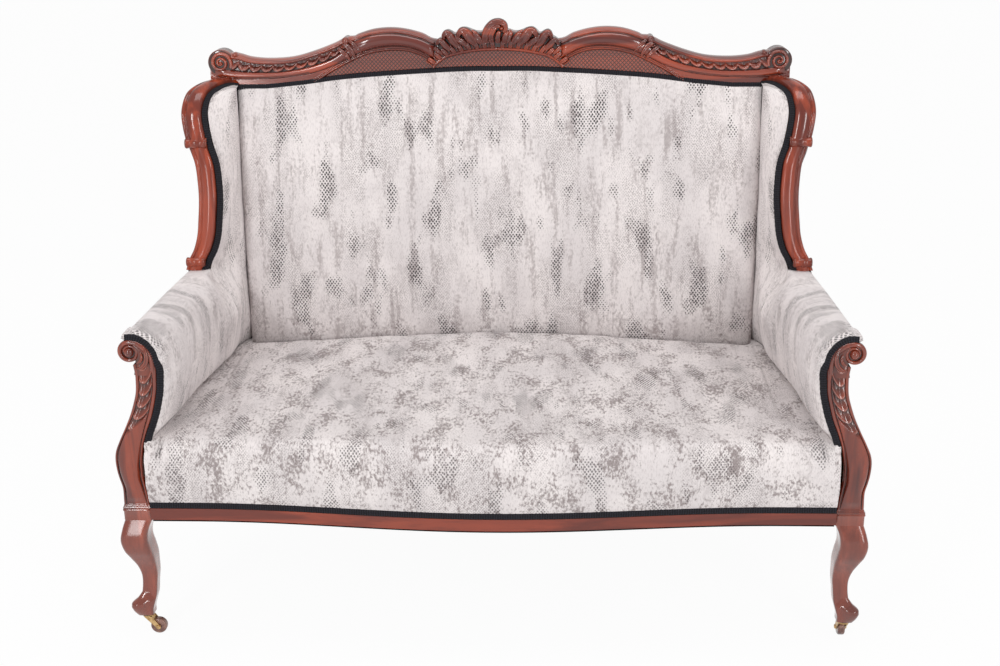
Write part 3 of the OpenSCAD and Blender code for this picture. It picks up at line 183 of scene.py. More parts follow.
def finish_mesh(name, verts, faces, uv=None, mat=None, slot=None, body=ROOT, replaces=()):
    mesh = bpy.data.meshes.new(name)
    mesh.from_pydata([tuple(v) for v in np.asarray(verts) * 0.001], [], faces)
    if uv is not None:
        layer = mesh.uv_layers.new(name="UVMap")
        loops = np.zeros(len(mesh.loops), dtype=np.int32)
        mesh.loops.foreach_get("vertex_index", loops)
        layer.data.foreach_set("uv", (np.asarray(uv)[loops] * 0.001).astype(np.float32).ravel())
    mesh.validate()
    mesh.update()
    mesh.polygons.foreach_set("use_smooth", [True] * len(mesh.polygons))
    obj = bpy.data.objects.new(name, mesh)
    bpy.context.scene.collection.objects.link(obj)
    if mat:
        mesh.materials.append(mat)
    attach(obj, body)
    if replaces:
        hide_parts(*replaces)
    return obj


def grid_faces(n, m, close_v=False, flip=False, start=0):
    """Faces of a grid of n rows of m points, the rows closed to rings if close_v."""
    faces = []
    for i in range(n - 1):
        i1 = i + 1
        for k in range(m if close_v else m - 1):
            k1 = (k + 1) % m
            f = (start + i * m + k, start + i1 * m + k, start + i1 * m + k1, start + i * m + k1)
            faces.append(f[::-1] if flip else f)
    return faces


class Kit:
    """Gathers several surfaces into one mesh."""

    def __init__(self):
        self.verts, self.faces, self.uvs, self.count = [], [], [], 0
        self.dark, self.hatch = [], []

    # dark: painted shade where above 0 and painted highlight where below 0; hatch: where the crossed grooves
    # go
    def grid(self, p, uv=None, close_v=False, flip=False, caps=False, dark=0.0, hatch=0.0):
        p = np.asarray(p, float)
        n, m = p.shape[:2]
        self.dark.append(np.broadcast_to(np.asarray(dark, float), (n, m)).ravel())
        self.hatch.append(np.broadcast_to(np.asarray(hatch, float), (n, m)).ravel())
        self.faces += grid_faces(n, m, close_v, flip, self.count)
        if caps:
            first = [self.count + k for k in range(m)]
            last = [self.count + (n - 1) * m + k for k in range(m)]
            self.faces.append(first if flip else first[::-1])
            self.faces.append(last[::-1] if flip else last)
        self.verts.append(p.reshape(-1, 3))
        if uv is None:
            uv = join(p[..., 0] + p[..., 1], p[..., 2])
        self.uvs.append(np.asarray(uv, float).reshape(-1, 2))
        self.count += n * m

    def bar(self, p, uv=None, **marks):
        """A run of closed rings with both ends capped."""
        self.grid(p, uv, close_v=True, caps=True, flip=True, **marks)

    def sheet(self, p, uv, shift, flip=False):
        """A cloth with a second face shifted behind the first."""
        self.grid(p, uv, flip=flip)
        self.grid(p + shift, uv, flip=not flip)

    def mirrored(self):
        other = Kit()
        other.verts = [v * [-1, 1, 1] for v in self.verts]
        other.faces = [tuple(f)[::-1] for f in self.faces]
        other.uvs = [np.array(u) for u in self.uvs]
        other.count = self.count
        other.dark = list(self.dark)
        other.hatch = list(self.hatch)
        return other

    def add(self, other):
        self.faces += [tuple(i + self.count for i in f) for f in other.faces]
        self.verts += other.verts
        self.uvs += other.uvs
        self.dark += other.dark
        self.hatch += other.hatch
        self.count += other.count

    def build(self, name, hollows=0.0, **more):
        obj = finish_mesh(name, np.vstack(self.verts), self.faces, np.vstack(self.uvs), **more)
        dark, hatch = np.concatenate(self.dark), np.concatenate(self.hatch)
        # hollows adds painted shade in the mesh's hollows
        if hollows or dark.any():
            set_mark(obj, "painted_shade_and_highlight", np.clip(dark + (hollows * hollow_shade(obj) if hollows else 0), -1, 1))
        if hatch.any():
            set_mark(obj, "hatch", hatch)
        return obj


def paired(kit):
    """A kit together with its mirror image."""
    both = Kit()
    both.add(kit)
    both.add(kit.mirrored())
    return both


def sided(kit, sign):
    """Kits are made for the right (sign 1)."""
    return (kit, "right") if sign > 0 else (kit.mirrored(), "left")


def tube(path, section, up=(0, -1, 0), scale=None):
    """Rings of a section [(across, out)] carried along a path, with one or two scales a point."""
    p = np.asarray(path, float)
    t = np.gradient(p, axis=0)
    t /= np.linalg.norm(t, axis=1)[:, None] + 1e-9
    up = np.asarray(up, float)
    side = np.cross(t, up)
    side /= np.linalg.norm(side, axis=1)[:, None] + 1e-9
    out = np.cross(side, t)
    s = np.ones((len(p), 2)) if scale is None else np.asarray(scale, float)
    if s.ndim == 1:
        s = join(s, s)
    sec = np.asarray(section, float)
    across, raised = sec[None, :, 0:1] * s[:, None, 0:1], sec[None, :, 1:2] * s[:, None, 1:2]
    return p[:, None, :] + side[:, None, :] * across + out[:, None, :] * raised


def circle(n, r=1.0):
    a = np.linspace(0, 2 * math.pi, n, endpoint=False)
    return join(r * np.cos(a), r * np.sin(a))


def half_round(low):
    """Section of a bead whose foot reaches low."""
    return [(math.cos(a), math.sin(a)) for a in np.linspace(0, math.pi, 12)] + [(-1, low), (1, low)]


def arc_points(c, r, a, b, n):
    t = np.radians(np.linspace(a, b, n))
    return join(c[0] + r * np.cos(t), c[1] + r * np.sin(t))


def wobble(x, y, seed, scale):
    """Smooth repeatable unevenness between about -1 and 1."""
    a = np.sin(x / scale * 2.1 + seed) * np.cos(y / scale * 1.7 + seed * 1.3)
    b = np.sin(x / scale * 0.9 - y / scale * 1.3 + seed * 2.1)
    c = np.sin(x / scale * 3.7 + y / scale * 2.9 + seed * 0.7) * 0.4
    return (a + b * 0.7 + c) / 2.1


# Materials


class Mat:
    """A material and short ways to add nodes to it. Where a value is asked for, a socket may be given."""

    def __init__(self, name):
        self.m = bpy.data.materials.new(name)
        self.m.use_nodes = True
        self.t = self.m.node_tree
        self.b = self.t.nodes["Principled BSDF"]

    def node(self, kind, **values):
        n = self.t.nodes.new("ShaderNode" + kind)
        for k, v in values.items():
            if k in n.inputs:
                self.set(n.inputs[k], v)
            else:
                setattr(n, k, v)
        return n

    def set(self, socket, v):
        if isinstance(v, bpy.types.NodeSocket):
            self.t.links.new(v, socket)
        elif hasattr(socket, "default_value"):
            if isinstance(v, (tuple, list)) and len(v) == 3 and len(socket.default_value) == 4:
                v = (*v, 1.0)
            socket.default_value = v

    def math(self, op, a, b, clamp=False):
        n = self.node("Math", operation=op, use_clamp=clamp)
        self.set(n.inputs[0], a)
        self.set(n.inputs[1], b)
        return n.outputs[0]

    def mul(self, a, b, clamp=False):
        return self.math("MULTIPLY", a, b, clamp)

    def add(self, a, b):
        return self.math("ADD", a, b)

    def sub(self, a, b):
        return self.math("SUBTRACT", a, b)

    def ramp(self, value, low, high, a=0.0, b=1.0):
        """Soft step from a, where value is low, to b, where it is high."""
        n = self.node("MapRange", interpolation_type="SMOOTHSTEP")
        for socket, v in zip(n.inputs, (value, low, high, a, b)):
            self.set(socket, v)
        return n.outputs["Result"]

    def mix(self, f, a, b):
        n = self.node("Mix", data_type="RGBA")
        self.set(n.inputs[0], f)
        self.set(n.inputs[6], a)
        self.set(n.inputs[7], b)
        return n.outputs[2]

    def coords(self, source, scale, rotation=(0, 0, 0), location=(0, 0, 0)):
        place = self.node("TexCoord").outputs[source]
        return self.node("Mapping", Vector=place, Scale=scale, Rotation=rotation,
                         Location=location).outputs[0]

    def noise(self, vector, detail=2.0, rough=0.5, distortion=0.0):
        return self.node("TexNoise", Vector=vector, Scale=1.0, Detail=detail, Roughness=rough,
                         Distortion=distortion).outputs["Fac"]

    def split(self, source):
        """The parts of a coordinate, in metres."""
        return self.node("SeparateXYZ", Vector=self.coords(source, (1, 1, 1))).outputs

    def spread(self, value, amount):
        """How far a noise is from its middle, times amount."""
        return self.mul(self.sub(value, 0.5), amount)

    def cells(self, vector, uneven):
        """Distance to the middle of the nearest cell of a grid."""
        return self.node("TexVoronoi", voronoi_dimensions="2D", feature="F1", Vector=vector, Scale=1.0,
                         Randomness=uneven).outputs["Distance"]

    def bump(self, height, strength, distance):
        return self.node("Bump", Height=height, Strength=strength, Distance=distance).outputs[0]

    def out(self, **values):
        for k, v in values.items():
            self.set(self.b.inputs[k.replace("_", " ")], v)
        return self.m


# pitch of the crossed grooves in the crest's panels, in metres
HATCH_PITCH = 0.0082


def velvet(name, cloud, streak, dots, scale, shift=(0.0, 0.0), low=None, seat=0.0, light=1.0):
    """Pale velvet with brown clouds, upright streaks and patches of dark scales. UV is in metres.

    scale: pitch of the scales. low: from where to where up the cloth a third amount of cloud fades out.
    light: factor on the base tones; above 1 it is painted light, a brighter copy of the cloth.
    """
    m = Mat(name)
    loc = (*shift, 0)

    def pile(across, along, *more, at=loc):
        return m.noise(m.coords("UV", (across, along, 1), location=at), *more)

    base = m.mix(m.ramp(pile(9, 5, 3.0), 0.36, 0.64),
                 tuple(c * light for c in (0.775, 0.722, 0.712)),
                 tuple(c * light for c in (0.680, 0.632, 0.628)))
    # short upright fibres all over
    fibre = pile(430, 120, 3.0, 0.62)
    grain = pile(190, 110, 4.0, 0.68)
    col = m.mix(m.ramp(fibre, 0.46, 0.70, 0.0, 0.42), base, (0.400, 0.352, 0.350))
    # upright streaks, broken up by the pile
    long_noise = pile(46, 7.0, 4.0, 0.60, 0.15)
    broken = m.spread(grain, 0.62)
    streaks = m.ramp(m.add(long_noise, broken), 0.50, 0.70)
    col = m.mix(m.mul(streaks, 0.60 * streak, True), col, (0.300, 0.255, 0.252))
    # cloudy brown marks, mostly on the seat; the back is darker towards its bottom
    clouds = pile(21, 14, 5.0, 0.66, 0.4)
    cloud_sum = m.add(clouds, m.spread(grain, 0.60 + 0.45 * seat))
    cloud_f = m.ramp(cloud_sum, 0.50 - 0.02 * seat, 0.72 - 0.03 * seat)
    amount = cloud
    if low:
        ragged = m.add(m.split("UV")[1], m.spread(clouds, 0.24))
        amount = m.ramp(ragged, low[0], low[1], low[2], cloud)
        # darker still towards the bottom of the back
        col = m.mix(m.mul(m.ramp(ragged, low[0] - 0.03, low[1] - 0.08, 0.50, 0.0), grain, True), col,
                    (0.215, 0.172, 0.168))
    col = m.mix(m.mul(cloud_f, amount, True), col, (0.215, 0.174, 0.170))
    # patches of dark scales in staggered rows
    patch = pile(20.0, 8.4, 2.0, 0.45, at=(loc[0] + 3.1, loc[1] + 1.7, 0))
    patch_f = m.ramp(m.add(patch, m.spread(grain, 0.10)), 0.515, 0.690)
    aslant = (0, 0, math.radians(45))
    cell = m.cells(m.coords("UV", (257 * scale, 186 * scale, 1), aslant, loc), 0.22)
    size = pile(120, 90, 2.0)
    reach = m.add(m.mul(patch_f, 0.20), m.mul(size, 0.34))
    dot = m.ramp(m.sub(reach, cell), -0.01, 0.06)
    col = m.mix(m.mul(patch_f, 0.05 * dots, True), col, (0.330, 0.285, 0.285))
    dot = m.mul(dot, m.mul(m.ramp(patch_f, 0.0, 0.5), 0.94 * dots), True)
    col = m.mix(dot, col, (0.022, 0.018, 0.021))
    # fine stipple everywhere, faint
    fine = m.cells(m.coords("UV", (330 * scale, 250 * scale, 1), aslant), 0.5)
    area_f = m.ramp(pile(15, 6, 3.0, at=(7.3, 2.2, 0)), 0.45, 0.62)
    stipple = m.mul(m.ramp(m.sub(0.34, fine), 0.0, 0.12), area_f)
    col = m.mix(m.mul(stipple, 0.55, True), col, (0.155, 0.128, 0.128))
    height = m.sub(m.mul(fibre, 0.6), m.mul(dot, 0.7))
    normal = m.bump(height, 0.35, 0.0006)
    return m.out(Base_Color=col, Roughness=0.86, Normal=normal, Sheen_Weight=0.18, Sheen_Roughness=0.35,
                 Specular_IOR_Level=0.25)


def mahogany(name, along, dark, pale, rough=0.17, coat=0.62):
    """Polished mahogany, its grain along one axis, with painted shade in the carving and painted highlight on
    its edges; pale moves the tones to paler, hazier ones that paint the white floor's reflection.
    """
    m = Mat(name)
    scale = {"X": (2.4, 30, 30), "Y": (30, 2.4, 30), "Z": (30, 30, 2.4)}[along]
    wide = m.noise(m.coords("Object", tuple(s * 0.4 for s in scale)), 3.0, 0.55, 0.6)
    fine = m.noise(m.coords("Object", tuple(s * 9 for s in scale)), 4.0, 0.7)
    ring = m.noise(m.coords("Object", scale), 4.0, 0.55, 0.8)

    # pale mixes each tone towards a paler, hazier one, a painted reflection of the white floor, most on the
    # legs
    def tone(full, reflected):
        return tuple(mix(f, r, pale) * dark for f, r in zip(full, reflected))

    col = m.mix(m.ramp(ring, 0.38, 0.62), tone((0.125, 0.013, 0.005), (0.300, 0.080, 0.050)),
                tone((0.330, 0.044, 0.012), (0.450, 0.125, 0.080)))
    col = m.mix(m.ramp(wide, 0.46, 0.70, 0.0, 0.62), col, tone((0.060, 0.006, 0.004), (0.170, 0.045, 0.030)))
    col = m.mix(m.ramp(fine, 0.52, 0.74, 0.0, 0.35), col, (0.070, 0.014, 0.009))
    painted_shade_and_highlight = m.node("Attribute", attribute_name="painted_shade_and_highlight").outputs["Fac"]
    hatch = m.node("Attribute", attribute_name="hatch").outputs["Fac"]
    # fine crossed grooves of the sunk panels, darkened in colour as painted shade
    place = m.split("Object")
    lines = []
    for sense in (1, -1):
        run = m.add(place[0], m.mul(place[2], 0.95 * sense))
        lines.append(m.math("PINGPONG", m.mul(run, 1 / HATCH_PITCH), 0.5))
    groove = m.ramp(m.math("MINIMUM", lines[0], lines[1]), 0.06, 0.22, 1.0, 0.0)
    groove = m.mul(groove, hatch)
    col = m.mix(m.mul(hatch, 0.45), col, (0.330, 0.085, 0.055))
    col = m.mix(m.mul(groove, 0.92), col, (0.034, 0.010, 0.008))
    # painted shade in the carving's hollows and grooves, where the mark is above 0
    col = m.mix(m.mul(painted_shade_and_highlight, 0.92, True), col, (0.026, 0.008, 0.006))
    # painted highlight on edges, beads and rims, where the mark is below 0
    col = m.mix(m.mul(m.mul(painted_shade_and_highlight, -1.0, True), 0.32, True), col, (0.520, 0.260, 0.215))
    height = m.sub(m.mul(fine, 0.03), m.mul(groove, 1.0))
    normal = m.bump(height, 0.8, 0.0007)
    r = m.ramp(wide, 0.3, 0.7, rough, rough + 0.08)
    r = m.add(r, m.mul(m.math("MAXIMUM", painted_shade_and_highlight, 0.0), 0.35))
    return m.out(Base_Color=col, Roughness=r, Normal=normal, Coat_Weight=coat, Coat_Roughness=0.12,
                 Coat_IOR=1.6,
                 Specular_IOR_Level=0.18)


def plain_wood(name):
    """Unpolished beech of the hidden frame."""
    m = Mat(name)
    g = m.noise(m.coords("Object", (60, 60, 9)), 4.0, 0.6, 0.5)
    col = m.mix(m.ramp(g, 0.35, 0.68), (0.47, 0.31, 0.17), (0.62, 0.46, 0.29))
    return m.out(Base_Color=col, Roughness=0.62, Normal=m.bump(g, 0.15, 0.0005))


def gimp(name):
    """Near-black braid with a turn every BRAID_PITCH mm along it."""
    m = Mat(name)
    n = m.noise(m.coords("UV", (1500, 1500, 1)), 3.0, 0.6)
    patch = m.noise(m.coords("UV", (60, 90, 1)), 2.0)
    col = m.mix(m.ramp(n, 0.35, 0.7), (0.0066, 0.0060, 0.0072), (0.0190, 0.0180, 0.0210))
    col = m.mix(m.ramp(patch, 0.5, 0.75, 0, 0.35), col, (0.022, 0.021, 0.028))
    turn = m.math("PINGPONG", m.mul(m.split("UV")[1], 1000 / BRAID_PITCH), 0.5)
    col = m.mix(m.ramp(turn, 0.20, 0.45, 0.0, 0.6), col, (0.034, 0.033, 0.045))
    return m.out(Base_Color=col, Roughness=0.8, Normal=m.bump(n, 0.4, 0.0005), Specular_IOR_Level=0.2)


def cloth(name, a, b, pitch):
    """Plain weave between two colours."""
    m = Mat(name)
    threads = []
    for way in "XY":
        wave = m.node("TexWave", wave_type="BANDS", bands_direction=way, Scale=0.16,
                      Vector=m.coords("UV", (pitch, pitch, 1)))
        threads.append(wave.outputs["Fac"])
    weave = m.mul(*threads)
    n = m.noise(m.coords("UV", (35, 35, 1)), 4.0)
    col = m.mix(m.add(m.mul(weave, 0.6), m.mul(n, 0.4)), a, b)
    return m.out(Base_Color=col, Roughness=0.9, Normal=m.bump(weave, 0.4, 0.0004))


def metal(name, a, b, rough):
    """Worn metal between two colours."""
    m = Mat(name)
    n = m.noise(m.coords("Object", (160, 160, 160)), 4.0, 0.6)
    return m.out(Base_Color=m.mix(m.ramp(n, 0.35, 0.65), a, b), Metallic=1.0,
                 Roughness=m.ramp(n, 0.3, 0.7, rough, rough + 0.18), Normal=m.bump(n, 0.08, 0.0003))


def china(name):
    """Brown glazed wheel."""
    m = Mat(name)
    n = m.noise(m.coords("Object", (90, 90, 90)), 4.0, 0.6)
    col = m.mix(m.ramp(n, 0.38, 0.68), (0.115, 0.045, 0.035), (0.300, 0.160, 0.120))
    return m.out(Base_Color=col, Roughness=m.ramp(n, 0.3, 0.7, 0.16, 0.4), Coat_Weight=0.4,
                 Coat_Roughness=0.12)


VELVET_BACK = velvet("velvet_back", 0.22, 1.0, 1.0, 0.80, low=(0.47, 0.60, 0.80))
VELVET_SEAT = velvet("velvet_seat", 0.80, 0.40, 0.75, 0.82, shift=(2.3, 5.1), seat=1.0)
# VELVET_SIDE's light of 1.12 is painted light: a brighter copy of the cloth for the sides, which the lamps
# only graze
VELVET_SIDE = velvet("velvet_side", 0.30, 0.65, 0.85, 0.80, shift=(4.9, 1.3), light=1.12)
WOOD_X = mahogany("mahogany_x", "X", 1.05, 0.03, coat=1.0)
WOOD_Z = mahogany("mahogany_z", "Z", 0.76, 0.08, coat=1.0)
WOOD_WING = mahogany("mahogany_wing", "Z", 1.10, 0.14)
WOOD_LEG = mahogany("mahogany_leg", "Z", 0.95, 0.50, 0.16, coat=0.9)
WOOD_RAIL = mahogany("mahogany_rail", "X", 1.0, 0.20, 0.26)
WOOD_FRAME = plain_wood("beech")
GIMP = gimp("gimp")
LINING = cloth("lining", (0.012, 0.012, 0.013), (0.03, 0.03, 0.032), 700)
JUTE = cloth("jute", (0.30, 0.22, 0.12), (0.50, 0.40, 0.25), 400)
BRASS = metal("brass_aged", (0.40, 0.25, 0.11), (0.66, 0.45, 0.22), 0.26)
IRON = metal("plate_dark", (0.09, 0.06, 0.045), (0.20, 0.13, 0.09), 0.42)
STEEL = metal("steel", (0.35, 0.34, 0.33), (0.55, 0.54, 0.52), 0.3)
CHINA = china("china")

# Upholstery

# how far the inside of the arm bulges over its height, at its front and behind the wing
FRONT_SW = spline([[0, 0], [0.05, 0.35], [0.11, 0.54], [0.25, 0.73], [0.39, 0.89], [0.54, 1], [0.68, 1],
                   [0.81, 0.89], [0.91, 0.65], [0.97, 0.28], [1, -0.2]], 6)
BACK_SW = spline([[0, 0], [0.05, 0.2], [0.11, 0.4], [0.25, 0.72], [0.39, 0.9], [0.54, 1], [1, 1]], 6)


def arm_in(h, y):
    """x of the inside of the arm at height h (0 at the seat, 1 at the top) and at y."""
    t = np.clip((y - WING_Y0) / (CORNER_Y - WING_Y0), 0, 1)
    f = line_at(h, FRONT_SW)
    b = line_at(h, BACK_SW)
    return np.maximum(BACK_HALF + 0.6, seam(y) - mix(37 * f, 25 * b, t))


BACK_RISE = spline([[0, 0.62], [0.06, 0.74], [0.2, 0.94], [0.38, 1], [0.58, 0.88], [0.78, 0.62],
                    [0.9, 0.36], [0.97, 0.17], [1, 0.1]], 6)
BACK_SIDE = spline([[0, 1], [0.75, 1], [0.88, 0.96], [0.95, 0.88], [0.985, 0.74], [1, 0.52]], 6)


def back_front(x, h):
    """y of the front of the padded back at x, h from its foot (0) to the crest (1)."""
    z = mix(BACK_LOW, back_top(x), h)
    rise = line_at(h, BACK_RISE)
    side = line_at(np.abs(x) / BACK_HALF, BACK_SIDE)
    return pad_back(z) - BACK_PAD * rise * side


def make_back():
    """The padded back between the wings: front, edges and a coarse back face."""
    xs = np.concatenate([np.linspace(-555.4, -520, 14)[:-1], np.linspace(-520, 520, 150),
                         np.linspace(520, 555.4, 14)[1:]])
    x, h = np.meshgrid(xs, np.linspace(0, 1, 90), indexing="ij")
    z = mix(BACK_LOW, back_top(x), h)
    y = back_front(x, h)
    # the cloth is pulled a little unevenly, most at its edges
    edge = smooth((555 - np.abs(x)) / 60) * smooth(h / 0.2) * smooth((1 - h) / 0.12)
    y = y + edge * waves(x, z, (1.6, 1.0, 70), (1.2, 4.0, 34))
    # pull marks under the crest
    y = y - 1.0 * np.exp(-((1 - h) / 0.05) ** 2) * np.sin(x / 17.0 + 0.7 * np.sin(x / 61.0))
    front = join(x, y, z)
    uv = join(x, z)
    kit = Kit()
    kit.grid(front, uv)
    for i in (0, -1):
        wall = np.stack([front[i], mix(front[i], join(x[i], pad_back(z[i]), z[i]), 0.5),
                         join(x[i], pad_back(z[i]), z[i])], 0)
        kit.grid(wall, np.stack([join(x[i], z[i]) + [k * 20 * (1 if i else -1), 0] for k in range(3)], 0),
                 flip=(i == 0))
    back = join(x, pad_back(z), z)[::8, ::8]
    kit.grid(back, uv[::8, ::8], flip=True)
    for k in (0, -1):
        lid = np.stack([front[:, k], join(x[:, k], pad_back(z[:, k]), z[:, k])], 1)
        kit.grid(lid, np.stack([uv[:, k], uv[:, k]], 1), flip=(k == -1))
    obj = kit.build("back_pad", mat=VELVET_BACK, slot="velvet", replaces=("back_cover", "back_stuffing"))
    return obj


def seat_z(x, v):
    """Height of the seat at x, v from its front (0) to its back (1)."""
    u = np.clip(np.abs(x) / BLOCK_IN, 0, 1)
    rise = 7.0 * np.exp(-(u / 0.42) ** 2) * smooth((v - 0.35) / 0.65)
    crown = SEAT_CROWN * ((1 - u ** 2) * mix(0.35, 1, smooth(v * 1.25)) - 0.25 * u ** 12)
    return mix(SEAT_FRONT_H, SEAT_H, v) + crown + rise


def seat_back_y(x):
    """Where the seat meets the back or the arm."""
    a = np.abs(x)
    behind = back_front(x, 0.12) - 0.3
    lim = SEAM_LINE[::-1]
    side = np.interp(a, lim[:, 1], lim[:, 0])
    return np.where(a < BACK_HALF + 0.3, behind, np.where(a < 640, side, POST_Y - 1))


def make_seat():
    """The padded seat, one closed line of cloth from front to back at each x."""
    tail = np.array([555.3, 560, 566, 573, 580, 586, 592, 598, 604, 610, 616, 622, 628, 633, 637, 640, 643,
                     646, 648.5, 650.2])
    inner = np.linspace(0, 555, 84)
    xs = np.concatenate([-tail[::-1], -inner[:0:-1], inner, tail])
    face = spline([[0, 0], [-0.55, 0.12], [-0.92, 0.30], [-1.05, 0.46], [-0.98, 0.64], [-0.60, 0.80],
                   [0.1, 0.915]], 5)
    rows, uvs = [], []
    for x in xs:
        y0 = rail_face(x) - 0.2
        y1 = seat_back_y(np.array([x]))[0]
        d = y1 - y0
        rise = seat_z(x, 0) - SEAT_LOW
        roll = min(34.0, d * 0.3)
        pts = [(y0 + s * SEAT_SWELL, SEAT_LOW + h * rise) for s, h in face]
        pts += [(y0 + roll * 0.22, SEAT_LOW + rise * 0.965), (y0 + roll * 0.55, SEAT_LOW + rise * 0.992),
                (y0 + roll, SEAT_LOW + rise * 1.004)]
        for v in np.linspace(0.14, 0.93, 34):
            y = mix(y0, y1, v)
            if y > y0 + roll * 1.25:
                pts.append((y, seat_z(x, v)))
        # the seat closes in towards the arms and the back with a soft lip
        lip = min(10.0, d * 0.1)
        zt = seat_z(x, 1.0)
        pts += [(y1 - lip, zt - 0.5), (y1 - lip * 0.4, zt - 3.0), (y1 - 0.3, zt - 9.0), (y1 - 0.2, zt - 30)]
        line = even(spline(pts, 3), 96)
        s = run_length(line)
        rows.append(join(x, line[:, 0], line[:, 1]))
        uvs.append(join(x, s))
    p = np.array(rows)
    uv = np.array(uvs)
    u = np.abs(p[..., 0]) / 640
    lie = smooth((1 - u) / 0.08)
    top = smooth((p[..., 2] - 400) / 25)
    p[..., 2] += lie * top * waves(p[..., 0], p[..., 1], (1.9, 2.0, 75), (1.2, 6.0, 31))
    front = (1 - top) * smooth((p[..., 2] - 300) / 30)
    p[..., 1] -= front * waves(p[..., 0], p[..., 2], (1.5, 3.0, 60), (0.9, 5.0, 22))
    # gathers at the two front corners
    corner = np.exp(-((np.abs(p[..., 0]) - 640) / 22) ** 2) * front
    p[..., 1] -= corner * 1.6 * np.sin(p[..., 2] / 8.0 + np.abs(p[..., 0]) / 9.0)
    kit = Kit()
    kit.grid(p, uv, flip=True)
    bottom = np.stack([p[:, -1], p[:, 0]], 1)
    kit.grid(bottom, np.stack([uv[:, -1], uv[:, 0]], 1), flip=True)
    for i in (0, -1):
        ring = p[i]
        mid = ring.mean(axis=0)
        cap = np.stack([ring, np.tile(mid, (len(ring), 1))], 0)
        kit.grid(cap, np.stack([uv[i], uv[i]], 0), flip=(i != 0))
    obj = kit.build("seat_pad", mat=VELVET_SEAT, slot="velvet", replaces=("seat_cover", "seat_stuffing"))
    return obj


def wing_section(z, t):
    """Place on the inside of the wing at height z: t 0 at the back corner, 1 at the rail."""
    down = WING_PATH[18:]
    o = np.argsort(down[:, 2])
    rx = np.interp(z, down[o, 2], down[o, 0]) - WING_INSET
    ry = np.interp(z, down[o, 2], down[o, 1]) + 1.0
    y = mix(WING_BACK_Y, ry, t)
    bend = smooth((t - 0.22) / 0.95)
    x = mix(BACK_HALF + 0.8, rx, bend ** 0.92)
    return x, y


